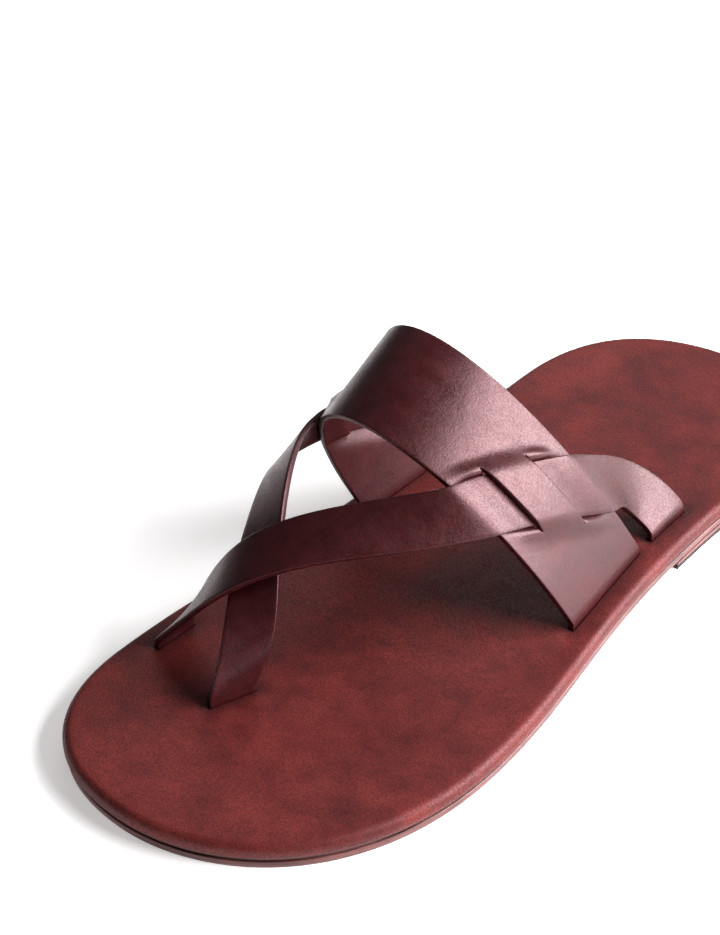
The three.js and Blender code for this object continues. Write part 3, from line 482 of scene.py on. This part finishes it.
def band_lift(nominal, vv):
    """How far the band is raised over the straps: bridges between the slits, dipped flaps and a lip."""
    off = np.abs(nominal - WEAVE_MIDDLE)[:, None] * BAND_LENGTH
    half = WEAVE_HALF * BAND_LENGTH
    ramp = 1 - smooth((off - half + BRIDGE_RAMP_INSIDE) / BRIDGE_RAMP)
    closing = smooth((half + SLIT_OVERRUN - off) / FLAP_CLOSING)
    bridge = (vv > SLIT_FRONT) & (vv < SLIT_REAR)
    to_slit = np.minimum(np.abs(vv - SLIT_FRONT), np.abs(vv - SLIT_REAR)) * BAND_WIDTH
    middle = np.sin(np.pi * np.clip((vv - SLIT_FRONT) / (SLIT_REAR - SLIT_FRONT), 0, 1))
    flap = bump(to_slit, FLAP_REACH) * ((1 - closing) * BRIDGE_RISE * ramp - closing * FLAP_DIP)
    lift = np.where(bridge, (BRIDGE_RISE + BRIDGE_CROWN * middle) * ramp, flap)
    past_slit = (vv - SLIT_REAR) * BAND_WIDTH - LIP_FROM_SLIT
    lip = bump((off - half - LIP_FROM_STRAP), LIP_REACH[0]) * bump(past_slit, LIP_REACH[1])
    upper_side = (nominal > WEAVE_MIDDLE)[:, None]
    return lift + LIP_RISE * lip * upper_side * (vv > SLIT_REAR)


def band():
    """The wide band: a tail in the lateral slot, the arch over the foot, and the medial tail."""
    front_count, bridge_count, rear_count = 13, 17, 15
    v = stops(
        (0, SLIT_FRONT - CUT_HALF, front_count),
        (SLIT_FRONT + CUT_HALF, SLIT_REAR - CUT_HALF, bridge_count),
        (SLIT_REAR + CUT_HALF, 1, rear_count),
    )
    slit_columns = (front_count - 1, front_count + bridge_count - 1)
    start, end = WEAVE_MIDDLE - SLIT_HALF, WEAVE_MIDDLE + SLIT_HALF
    u = np.unique(stops((0, start, 14), (start, end, 29), (end, 0.5, 46)))
    slant = np.interp(u, [0, start - 0.01, end + 0.01, 0.5], [0, 1, 1, 0])
    nominal = np.concatenate([u, u[-2::-1]])
    slanted = u[:, None] + slant[:, None] * (weave_centre(v)[None, :] - WEAVE_MIDDLE)
    place = np.concatenate([slanted, 1 - slanted[-2::-1]])
    vv = np.broadcast_to(v, place.shape)
    tail = [np.array([slot_point(SLOTS[s], a, out, height) for a in v])
            for s in ("band_lateral", "band_medial") for out, height, _ in TAIL_STATIONS[:-1]]
    arch = band_point(place, vv)
    count = len(TAIL_STATIONS) - 1
    base = np.concatenate([tail[:count], arch, tail[count:][::-1]])
    thickness = np.array([t for _, _, t in TAIL_STATIONS[:-1]])
    thickness = np.concatenate([thickness, np.full(len(arch), STRAP_THICKNESS), thickness[::-1]])
    grid = base.copy()
    grid[count:-count] += band_normal(place, vv) * band_lift(nominal, vv)[..., None]

    middle_of_cells = (nominal[1:] + nominal[:-1]) / 2
    in_slit = np.abs(middle_of_cells - WEAVE_MIDDLE) < SLIT_HALF
    is_open = np.zeros((len(base) - 1, len(v) - 1), bool)
    for column in slit_columns:
        is_open[count : count + len(in_slit), column] = in_slit
    outward = np.zeros_like(base)
    outward[count:-count] = band_normal(place, vv)
    return leather("instep_band_leather", grid, base, thickness, outward, is_open)


# ---- narrow straps ----------------------------------------------------------------------------------
# Each free station: an offset from the straight line between the stretch's ends, and a direction across.
LATERAL_REAR = [
    ((-3.5, 5.1, 0.2), (-0.19, 0.93, 0.32)),
    ((-6.5, 5.2, 0.8), (-0.5, 0.62, 0.6)),
    ((-6.0, 3.6, 1.5), (-0.62, 0.28, 0.72)),
    ((-3.1, 1.7, 1.0), (-0.55, -0.06, 0.82)),
]
LATERAL_FRONT = [
    ((1.6, -1.3, 4.2), (-0.55, 0.35, 0.76)),
    ((0.5, -4.5, 8.1), (-0.58, 0.47, 0.66)),
    ((-1.3, -7, 11.5), (-0.63, 0.54, 0.55)),
    ((-3, -9.4, 13.9), (-0.7, 0.57, 0.43)),
    ((-4.1, -11.2, 13.9), (-0.73, 0.65, 0.2)),
    ((-3.8, -10.4, 10.1), (-0.51, 0.86, 0.03)),
    ((-2.4, -6.2, 3.9), (-0.23, 0.97, 0.03)),
]
MEDIAL_REAR = [((3.2, 6.1, -2.1), (0.1, 0.95, 0.15)), ((3.7, 3.7, 2.1), (0.3, 0.7, 0.6))]
MEDIAL_FRONT = [
    ((-4.2, 0.6, 5.1), (0.5, 0.2, 0.84)),
    ((-2.9, -2.2, 8.7), (0.62, 0.14, 0.77)),
    ((-0.9, -4.5, 9.7), (0.73, 0.15, 0.67)),
    ((1.3, -6, 9.6), (0.84, 0.2, 0.5)),
    ((3.6, -6.6, 8.7), (0.9, 0.35, 0.24)),
    ((5.2, -6.1, 6.9), (0.8, 0.6, -0.03)),
    ((4.5, -4.3, 3), (0.5, 0.85, -0.15)),
]
# The strap follows the band's surface from the rear edge to just past the front edge.
WEAVE_FROM = 1.0
WEAVE_TO = -0.06
WEAVE_STATIONS = 34
EASING_ROUNDS = 70
EASING_REACH = 10
EASED_ON_BAND_REAR = 5
EASED_ON_BAND_FRONT = 3
ON_BAND = STRAP_THICKNESS + 0.35
AT_SLIT = 0.75
UNDER_BRIDGE = 0.6
SLIT_REACH = 6.6
BRIDGE_REACH = 2.5
# A point inside the foot: the straps' grain side faces away from it.
INSIDE_FOOT = np.array([0, -8, 12.0])


def strap_lift(v):
    """How far the strap's middle stands off the band's, from front to rear edge."""
    if v > SLIT_REAR:
        return ON_BAND - (ON_BAND - AT_SLIT) * bump((v - SLIT_REAR) * BAND_WIDTH, SLIT_REACH)
    if v < SLIT_FRONT:
        return ON_BAND - (ON_BAND - AT_SLIT) * bump((SLIT_FRONT - v) * BAND_WIDTH, SLIT_REACH)
    inside = min(v - SLIT_FRONT, SLIT_REAR - v) * BAND_WIDTH
    return UNDER_BRIDGE + (AT_SLIT - UNDER_BRIDGE) * bump(inside, BRIDGE_REACH)


def weave_station(v, side):
    """The strap's two edges and middle where it crosses the band at v."""
    places = [weave_centre(v) + offset for offset in (-WEAVE_HALF, 0, WEAVE_HALF)]
    places = [u if side > 0 else 1 - u for u in places]
    return [band_point(u, v) + band_normal(u, v) * strap_lift(v) for u in places]


def slot_stations(slot):
    """The strap's two edges and middle at each station of its tail."""
    return [[slot_point(slot, a, out, height) for a in (0, 0.5, 1)] for out, height, _ in TAIL_STATIONS]


def free_stretch(stations, start, end, start_width, end_width):
    """The strap's edges and middle at each station between two ends."""
    made = []
    for i, (offset, across) in enumerate(stations):
        t = (i + 1) / (len(stations) + 1)
        middle = mix(start, end, t) + np.array(offset)
        half = unit(np.array(across, float)) * mix(start_width, end_width, t) / 2
        made.append([middle - half, middle, middle + half])
    return made


def along_curve(points, at, where):
    """Values of a smooth curve through unevenly spaced points, at the distances `where`."""
    span = np.diff(at)
    slope = np.diff(points, axis=0) / span[:, None]
    tangent = np.concatenate([
        slope[:1],
        (slope[1:] * span[:-1, None] + slope[:-1] * span[1:, None]) / (span[1:] + span[:-1])[:, None],
        slope[-1:],
    ])
    i = np.clip(np.searchsorted(at, where, side="right") - 1, 0, len(span) - 1)
    h = span[i][:, None]
    t = ((where - at[i]) / span[i])[:, None]
    return (
        points[i] * (2 * t**3 - 3 * t**2 + 1) + tangent[i] * h * (t**3 - 2 * t**2 + t)
        + points[i + 1] * (3 * t**2 - 2 * t**3) + tangent[i + 1] * h * (t**3 - t**2)
    )


def ease(rails, where, rear_stretch, front_stretch):
    """Draws the free stretches into even curves, held where they meet the slots and the band."""
    on_rear = np.minimum(where - rear_stretch[0], rear_stretch[1] - where)
    on_front = np.minimum(where - front_stretch[0], front_stretch[1] - where)
    inside = np.where(where < rear_stretch[1], on_rear, on_front)
    share = 0.5 * smooth(inside / EASING_REACH)[:, None]
    for rail in rails:
        for _ in range(EASING_ROUNDS):
            rail[1:-1] += share[1:-1] * ((rail[:-2] + rail[2:]) / 2 - rail[1:-1])


def strap(name, side, rear_slot, toe_slot, rear_stations, front_stations, raised):
    """A narrow strap: rear tail, free stretch, weave, free stretch over the toes, toe tail."""
    rear = slot_stations(rear_slot)
    toe = slot_stations(toe_slot)[::-1]
    weave = [weave_station(v, side) for v in np.linspace(WEAVE_FROM, WEAVE_TO, WEAVE_STATIONS)]
    stations = (
        rear
        + free_stretch(rear_stations, rear[-1][1], weave[0][1], REAR_END_WIDTH, STRAP_WIDTH)
        + weave
        + free_stretch(front_stations, weave[-1][1], toe[0][1], STRAP_WIDTH, TOE_END_WIDTH)
        + toe
    )
    rails = np.array(stations)
    at = np.concatenate([[0], np.cumsum(np.linalg.norm(np.diff(rails[:, 1], axis=0), axis=1))])
    where = np.linspace(0, at[-1], int(at[-1] / STRAP_STEP))
    low, mid, high = (along_curve(rails[:, i], at, where) for i in range(3))
    rear_end = at[len(rear) + len(rear_stations)]
    arch_start = at[len(rear) + len(rear_stations) + len(weave) - 1]
    arch_end = at[len(stations) - len(toe)]
    rear_stretch = (at[len(rear) - 1], rear_end + EASED_ON_BAND_REAR)
    front_stretch = (arch_start - EASED_ON_BAND_FRONT, arch_end)
    ease((low, mid, high), where, rear_stretch, front_stretch)
    arch = np.sin(np.pi * np.clip((where - arch_start) / (arch_end - arch_start), 0, 1))
    for rail in (low, mid, high):
        rail[:, 2] += raised * arch
    s = np.linspace(-1, 1, STRAP_COLUMNS)[None, :, None]
    grid = mid[:, None] + s * (high - low)[:, None] / 2 + s * s * ((high + low) / 2 - mid)[:, None]
    tail = [t for _, _, t in TAIL_STATIONS]
    full = np.full(len(stations), STRAP_THICKNESS)
    full[: len(tail)] = tail
    full[-len(tail) :] = tail[::-1]
    thickness = np.interp(where, at, full)
    outward = np.zeros_like(grid)
    weaving = (where > rear_end) & (where < arch_start)
    outward[weaving] = unit(grid[weaving] - INSIDE_FOOT)
    return leather(name, grid, grid, thickness, outward)


# ---- materials -----------------------------------------------------------------------------------------
def to_linear(c):
    return c / 12.92 if c <= 0.04045 else ((c + 0.055) / 1.055) ** 2.4


def linear(r, g, b):
    """A colour given in 0 to 255, as the shader's linear values."""
    return (*[to_linear(c / 255) for c in (r, g, b)], 1.0)


class Look:
    """A node material under construction."""

    def __init__(self, name):
        self.material = bpy.data.materials.new(name)
        self.material.use_nodes = True
        self.tree = self.material.node_tree
        self.shader = self.tree.nodes["Principled BSDF"]
        self.place = self.node("ShaderNodeTexCoord").outputs["Object"]

    def node(self, kind, **settings):
        made = self.tree.nodes.new(kind)
        for key, value in settings.items():
            setattr(made, key, value)
        return made

    def link(self, source, target):
        self.tree.links.new(source, target)

    def noise(self, scale, detail=3.0, roughness=0.55, distortion=0.0):
        made = self.node("ShaderNodeTexNoise")
        made.inputs["Scale"].default_value = scale
        made.inputs["Detail"].default_value = detail
        made.inputs["Roughness"].default_value = roughness
        made.inputs["Distortion"].default_value = distortion
        self.link(self.place, made.inputs["Vector"])
        return made.outputs["Fac"]

    def cells(self, scale):
        made = self.node("ShaderNodeTexVoronoi")
        made.inputs["Scale"].default_value = scale
        self.link(self.place, made.inputs["Vector"])
        return made.outputs["Distance"]

    def range(self, value, low, high, to_low=0.0, to_high=1.0):
        made = self.node("ShaderNodeMapRange")
        made.clamp = True
        limits = {"From Min": low, "From Max": high, "To Min": to_low, "To Max": to_high}
        for socket, number in limits.items():
            made.inputs[socket].default_value = number
        self.link(value, made.inputs["Value"])
        return made.outputs["Result"]

    def math(self, operation, a, b):
        made = self.node("ShaderNodeMath", operation=operation)
        for socket, value in zip(made.inputs, (a, b)):
            if isinstance(value, (int, float)):
                socket.default_value = value
            else:
                self.link(value, socket)
        return made.outputs["Value"]

    def mix(self, amount, a, b):
        made = self.node("ShaderNodeMix", data_type="RGBA")
        for socket, value in ((made.inputs[0], amount), (made.inputs[6], a), (made.inputs[7], b)):
            if isinstance(value, (int, float, tuple)):
                socket.default_value = value
            else:
                self.link(value, socket)
        return made.outputs[2]

    def attribute(self, name):
        return self.node("ShaderNodeAttribute", attribute_name=name).outputs["Fac"]

    def relief(self, height, strength, distance, under=None):
        made = self.node("ShaderNodeBump")
        made.inputs["Strength"].default_value = strength
        made.inputs["Distance"].default_value = distance
        self.link(height, made.inputs["Height"])
        if under is not None:
            self.link(under, made.inputs["Normal"])
        return made.outputs["Normal"]

    def finish(self, color, roughness, normal, **sockets):
        self.link(color, self.shader.inputs["Base Color"])
        self.link(roughness, self.shader.inputs["Roughness"])
        self.link(normal, self.shader.inputs["Normal"])
        for name, value in sockets.items():
            self.shader.inputs[name.replace("_", " ")].default_value = value
        return self.material


# Waxed, dyed leather: the tint of its highlights, its pores, and the colour of the painted shade round the
# footbed's slots.
SHEEN = (1.0, 0.62, 0.66, 1)
# The colour of the painted shade laid on the footbed round each slot.
PORE_COLOR = linear(16, 4, 5)
SLOT_SHADE_COLOR = linear(38, 13, 14)


def grain_leather(name, dark, light, worn, rough, mottle_scale, relief, shine):
    """Smooth dyed leather: uneven dye, fine pores, faint creases and painted shade where the mesh marks it.
    """
    look = Look(name)
    mottle = look.noise(mottle_scale, 5, 0.62, 0.6)
    patches = look.noise(mottle_scale * 4.3, 4, 0.6)
    streaks = look.noise(mottle_scale * 17, 3, 0.7)
    speckle = look.noise(1900, 2, 0.6)
    pores = look.cells(1500)
    dye = look.math("ADD", look.math("MULTIPLY", mottle, 0.6), look.math("MULTIPLY", patches, 0.4))
    color = look.mix(look.range(dye, 0.36, 0.64), dark, light)
    color = look.mix(look.range(streaks, 0.5, 0.75, 0, 0.3), color, worn)
    color = look.mix(look.range(speckle, 0.4, 0.62, 0.0, 0.5), color, PORE_COLOR)
    # Painted shade: the colour is darkened where the mesh marks a point as shaded, round the footbed's slots.
    color = look.mix(look.attribute("painted_slot_shade"), color, SLOT_SHADE_COLOR)
    roughness = look.math("ADD", look.range(patches, 0.3, 0.7, rough - 0.05, rough + 0.07),
                          look.range(speckle, 0.38, 0.62, -0.06, 0.1))
    normal = look.relief(look.noise(75, 3, 0.5), 0.18, 0.0012)
    normal = look.relief(look.noise(900, 4, 0.7), relief, 0.00012, normal)
    normal = look.relief(pores, relief * 0.7, 0.00008, normal)
    return look.finish(color, roughness, normal, Specular_Tint=SHEEN, Specular_IOR_Level=shine)


def fibrous_leather(name, dark, light, scale, relief):
    """The flesh side or a cut edge: raised fibres, dull."""
    look = Look(name)
    fibres = look.noise(scale, 6, 0.75, 1.2)
    clumps = look.noise(scale / 6, 4, 0.6)
    color = look.mix(look.range(fibres, 0.3, 0.7), dark, light)
    color = look.mix(look.range(clumps, 0.45, 0.7, 0, 0.4), color, dark)
    normal = look.relief(fibres, relief, 0.00025)
    normal = look.relief(clumps, relief * 0.6, 0.0004, normal)
    return look.finish(color, look.range(fibres, 0.2, 0.8, 0.62, 0.85), normal)


def stacked_edge(name, dark, light, rough):
    """The burnished edge of sole leather: thin level lines, wax and small nicks."""
    look = Look(name)
    stretch = look.node("ShaderNodeMapping")
    stretch.inputs["Scale"].default_value = (60, 60, 2600)
    look.link(look.place, stretch.inputs["Vector"])
    lines = look.node("ShaderNodeTexNoise")
    lines.inputs["Scale"].default_value = 1.0
    lines.inputs["Detail"].default_value = 4.0
    look.link(stretch.outputs["Vector"], lines.inputs["Vector"])
    wax = look.noise(140, 4, 0.6)
    color = look.mix(look.range(lines.outputs["Fac"], 0.35, 0.65), dark, light)
    color = look.mix(look.range(wax, 0.5, 0.75, 0, 0.5), color, dark)
    normal = look.relief(lines.outputs["Fac"], 0.35, 0.00015)
    normal = look.relief(look.noise(1200, 3, 0.6), 0.3, 0.0001, normal)
    return look.finish(color, look.range(wax, 0.3, 0.7, rough - 0.06, rough + 0.1), normal)


def granular(name, dark, light, scale, relief, rough, metallic=0.0):
    """Cork, fibre board, foam, rubber or plated steel: two tones of grain at one scale."""
    look = Look(name)
    grains = look.cells(scale)
    cloud = look.noise(scale / 5, 4, 0.6)
    color = look.mix(look.range(grains, 0.1, 0.7), dark, light)
    color = look.mix(look.range(cloud, 0.4, 0.7, 0, 0.5), color, dark)
    normal = look.relief(grains, relief, 0.0002)
    roughness = look.range(cloud, 0.3, 0.7, rough - 0.08, rough + 0.08)
    return look.finish(color, roughness, normal, Metallic=metallic)


def paint(piece, *materials):
    piece.data.materials.clear()
    for material in materials:
        piece.data.materials.append(material)
    return piece


def mark(piece, values):
    """Stores how much painted shade each point of the piece gets, for its material."""
    layer = piece.data.attributes.new("painted_slot_shade", "FLOAT", "POINT")
    layer.data.foreach_set("value", np.clip(values, 0, 1).astype(np.float32))


def mesh_points(piece):
    flat = np.empty(len(piece.data.vertices) * 3)
    piece.data.vertices.foreach_get("co", flat)
    return flat.reshape(-1, 3) / MM


FOOTBED_LOOK = grain_leather(
    "footbed_leather_look", linear(72, 20, 21), linear(112, 41, 36), linear(72, 23, 28),
    rough=0.5, mottle_scale=26, relief=0.35, shine=0.33)
STRAP_LOOK = grain_leather(
    "strap_leather_look", linear(42, 6, 8), linear(62, 11, 15), linear(38, 5, 7),
    rough=0.36, mottle_scale=40, relief=0.36, shine=0.52)
FLESH_LOOK = fibrous_leather("flesh_side_look", linear(74, 30, 30), linear(118, 62, 56), 900, 0.5)
CUT_LOOK = fibrous_leather("cut_edge_look", linear(112, 60, 52), linear(206, 150, 136), 1100, 0.4)
SOLE_LOOK = stacked_edge("outsole_edge_look", linear(70, 32, 32), linear(122, 72, 70), 0.4)
MIDSOLE_LOOK = stacked_edge("midsole_edge_look", linear(40, 18, 18), linear(78, 40, 38), 0.5)
RUBBER_LOOK = granular("heel_rubber_look", linear(30, 18, 18), linear(48, 28, 28), 1300, 0.35, 0.7)
FOAM_LOOK = granular("foam_look", linear(196, 186, 164), linear(228, 220, 202), 2200, 0.5, 0.92)
CORK_LOOK = granular("cork_look", linear(120, 80, 48), linear(190, 142, 96), 700, 0.5, 0.9)
BOARD_LOOK = granular("board_look", linear(128, 100, 70), linear(176, 146, 108), 1600, 0.3, 0.9)
STEEL_LOOK = granular("steel_look", linear(140, 140, 142), linear(176, 176, 178), 2600, 0.12, 0.34, 1.0)


# ---- pieces ---------------------------------------------------------------------------------------------
def arc_rings(radius, inset, top, steps):
    """Rings round a quarter-circle edge, from its side up to its top."""
    angles = np.linspace(0, np.pi / 2, steps + 1)
    return [ring(inset + radius * (1 - math.cos(a)), top - radius + radius * math.sin(a)) for a in angles]


# The fold at the foot of the footbed's wrapped side: inset and height above its underside.
WRAP_FOLD = [(1.2, 0), (0.55, 0.15), (0.2, 0.5), (0.02, 1.1)]
FLAT_START = 1.2
FLAT_CROWN = 0.02
CUTTER_MARGIN = (0.2, 3)
# How dark the painted shade round each slot gets.
SHADE_AT_SLOTS = 0.75
TOP_FACE_DEPTH = 0.3


def footbed():
    """The wrapped leather: rounded rim, turned under below, pulled down a little round each slot, with
    painted shade round each slot.
    """
    outer = [
        ring(TURN_UNDER, FLANGE_BOTTOM),
        *[ring(inset, FLANGE_BOTTOM + up) for inset, up in WRAP_FOLD],
        *arc_rings(RIM_RADIUS, 0, FOOTBED_TOP, 8),
        ring(RIM_RADIUS + FLAT_START, FOOTBED_TOP + FLAT_CROWN),
    ]
    inner = [
        ring(TURN_UNDER, FLANGE_TOP),
        ring(COVER_THICKNESS, FLANGE_TOP),
        *arc_rings(RIM_RADIUS - COVER_THICKNESS, COVER_THICKNESS, COVER_INSIDE, 3),
    ]
    points, faces = dome(outer, 0)
    split = len(points)
    more, inside = dome(inner, split)
    faces += [tuple(reversed(f)) for f in inside]
    size = 2 * SIDE_STEPS
    faces += [(k, split + k, split + (k + 1) % size, (k + 1) % size) for k in range(size)]
    piece = new_piece("footbed_leather", points + more, faces)
    cut_slots(piece, FLANGE_TOP + CUTTER_MARGIN[0], FOOTBED_TOP + HEEL_RISE + CUTTER_MARGIN[1])
    spots = mesh_points(piece)
    near = slot_distance(spots)
    on_top = spots[:, 2] - rise(spots[:, 1]) > FOOTBED_TOP - TOP_FACE_DEPTH
    spots[:, 2] -= SLOT_DIP * bump(near, SLOT_DIP_REACH) * on_top
    piece.data.vertices.foreach_set("co", (spots * MM).ravel())
    # Painted shade: the footbed's top is darkened in the crevice round each slot, where a strap goes in.
    mark(piece, SHADE_AT_SLOTS * bump(near, SLOT_SHADE_REACH) * on_top)
    piece.data.set_sharp_from_angle(angle=math.radians(FOOTBED_SHARP_ANGLE))
    return paint(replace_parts(piece, "footbed_cover"), FOOTBED_LOOK)


def outsole():
    """The bottom layer, with its edges worn round."""
    top = OUTSOLE_THICKNESS
    piece = slab("outsole_leather", [
        ring(OUTSOLE_INSET + 0.45, 0),
        ring(OUTSOLE_INSET + 0.12, 0.12),
        ring(OUTSOLE_INSET, 0.45),
        ring(OUTSOLE_INSET, top - 0.3),
        ring(OUTSOLE_INSET + 0.1, top - 0.08),
        ring(OUTSOLE_INSET + 0.35, top),
    ])
    return paint(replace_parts(piece, "outsole"), SOLE_LOOK)


def midsole():
    """The thin dark layer under the footbed, with a small bevel on both edges."""
    low, top, bevel = MIDSOLE_BOTTOM, MIDSOLE_BOTTOM + MIDSOLE_THICKNESS, 0.15
    piece = slab("midsole_leather", [
        ring(MIDSOLE_INSET + bevel, low),
        ring(MIDSOLE_INSET, low + bevel),
        ring(MIDSOLE_INSET, top - bevel),
        ring(MIDSOLE_INSET + bevel, top),
    ])
    return paint(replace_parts(piece, "midsole"), MIDSOLE_LOOK)


def cushion():
    """The foam between the board and the footbed leather, with the slots through it."""
    inset = COVER_THICKNESS + LAYER_GAP
    soft = RIM_RADIUS - COVER_THICKNESS
    piece = slab("cushion_foam", [
        ring(inset, CUSHION_BOTTOM),
        ring(inset + soft * 0.25, CUSHION_BOTTOM + CUSHION_THICKNESS * 0.5),
        ring(inset + soft, CUSHION_TOP),
    ])
    cut_slots(piece, CUSHION_BOTTOM - 1, CUSHION_TOP + HEEL_RISE + 1)
    return paint(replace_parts(piece, "cushion"), FOAM_LOOK)


def lateral_strap():
    return strap("lateral_strap_leather", 1, SLOTS["rear_lateral"], SLOTS["toe_medial"],
                 LATERAL_REAR, LATERAL_FRONT, ARCH_RAISE)


def medial_strap():
    return strap("medial_strap_leather", -1, SLOTS["rear_medial"], SLOTS["toe_lateral"],
                 MEDIAL_REAR, MEDIAL_FRONT, 0.0)


pieces = [footbed(), outsole(), midsole(), cushion()]
for make, node in ((band, "instep_band"), (lateral_strap, "lateral_strap"), (medial_strap, "medial_strap")):
    pieces.append(paint(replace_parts(make(), node), STRAP_LOOK, FLESH_LOOK, CUT_LOOK))
for piece in pieces:
    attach(piece, "root")

CAD_LOOKS = {
    "bottom_filler": CORK_LOOK,
    "insole_board": BOARD_LOOK,
    "heel_lift": SOLE_LOOK,
    "heel_top_piece": RUBBER_LOOK,
}
# The CAD part's own nodes that are still shown: tacks and nails are steel.
for node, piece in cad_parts.items():
    if not piece.hide_render:
        look = CAD_LOOKS.get(node, STEEL_LOOK)
        for i in range(len(piece.material_slots)):
            piece.material_slots[i].material = look
        if not piece.material_slots:
            piece.data.materials.append(look)

# ---- floor, light and camera ------------------------------------------------------------------------------
FLOOR_HALF = 3.0
FLOOR_TONES = (0.93, 0.925, 0.925, 1), (0.95, 0.945, 0.945, 1)
# A weak light of its own keeps the shadows on the floor pale.
FLOOR_GLOW_COLOR = (1.0, 0.97, 0.965, 1)
FLOOR_GLOW = 0.42
# Each light: place, size and power. Both point at the middle of the sandal.
LIGHTS = {
    "key": ((1.0, 0.72, 0.66), (1.35, 1.05), 84),
    "back": ((-0.75, 1.0, 0.95), (0.9, 0.9), 3.5),
}
LIGHT_TARGET = (0, 0, 0.03)
SKY_COLOR = (1.0, 0.985, 0.985, 1)
SKY_STRENGTH = 0.13
CAMERA_PLACE = (0.28149, -0.39437, 0.40651)
CAMERA_TARGET = (-0.06372, 0.02229, 0.0)
CAMERA_LENS = 79.35
SENSOR_WIDTH = 36
CLIP_START = 0.01


def placed(name, data, place, target):
    """Puts a light or the camera at a place, looking at a target."""
    item = bpy.data.objects.new(name, data)
    item.location = place
    item.rotation_euler = (Vector(target) - Vector(place)).to_track_quat("-Z", "Y").to_euler()
    bpy.context.scene.collection.objects.link(item)
    return item


def floor():
    corners = ((-1, -1), (1, -1), (1, 1), (-1, 1))
    mesh = bpy.data.meshes.new("floor")
    mesh.from_pydata([(x * FLOOR_HALF, y * FLOOR_HALF, 0) for x, y in corners], [], [(0, 1, 2, 3)])
    plane = bpy.data.objects.new("floor", mesh)
    bpy.context.scene.collection.objects.link(plane)
    look = Look("floor_look")
    tone = look.mix(look.range(look.noise(6, 2), 0.3, 0.7), *FLOOR_TONES)
    roughness = look.range(look.noise(40), 0.3, 0.7, 0.75, 0.85)
    normal = look.relief(look.noise(300), 0.02, 0.0001)
    glow = {"Emission_Color": FLOOR_GLOW_COLOR, "Emission_Strength": FLOOR_GLOW}
    paint(plane, look.finish(tone, roughness, normal, **glow))


def area_light(name, place, size, power):
    data = bpy.data.lights.new(name, "AREA")
    data.shape = "RECTANGLE"
    data.size, data.size_y = size
    data.energy = power
    placed(name, data, place, LIGHT_TARGET)


def sky():
    world = bpy.data.worlds.new("studio")
    world.use_nodes = True
    background = world.node_tree.nodes["Background"]
    background.inputs["Color"].default_value = SKY_COLOR
    background.inputs["Strength"].default_value = SKY_STRENGTH
    bpy.context.scene.world = world
    bpy.context.scene.view_settings.view_transform = "Standard"


floor()
for light, settings in LIGHTS.items():
    area_light(light, *settings)
sky()

camera_data = bpy.data.cameras.new("camera")
camera_data.sensor_width = SENSOR_WIDTH
camera_data.lens = CAMERA_LENS
camera_data.clip_start = CLIP_START
camera = placed("camera", camera_data, CAMERA_PLACE, CAMERA_TARGET)
bpy.context.scene.camera = camera
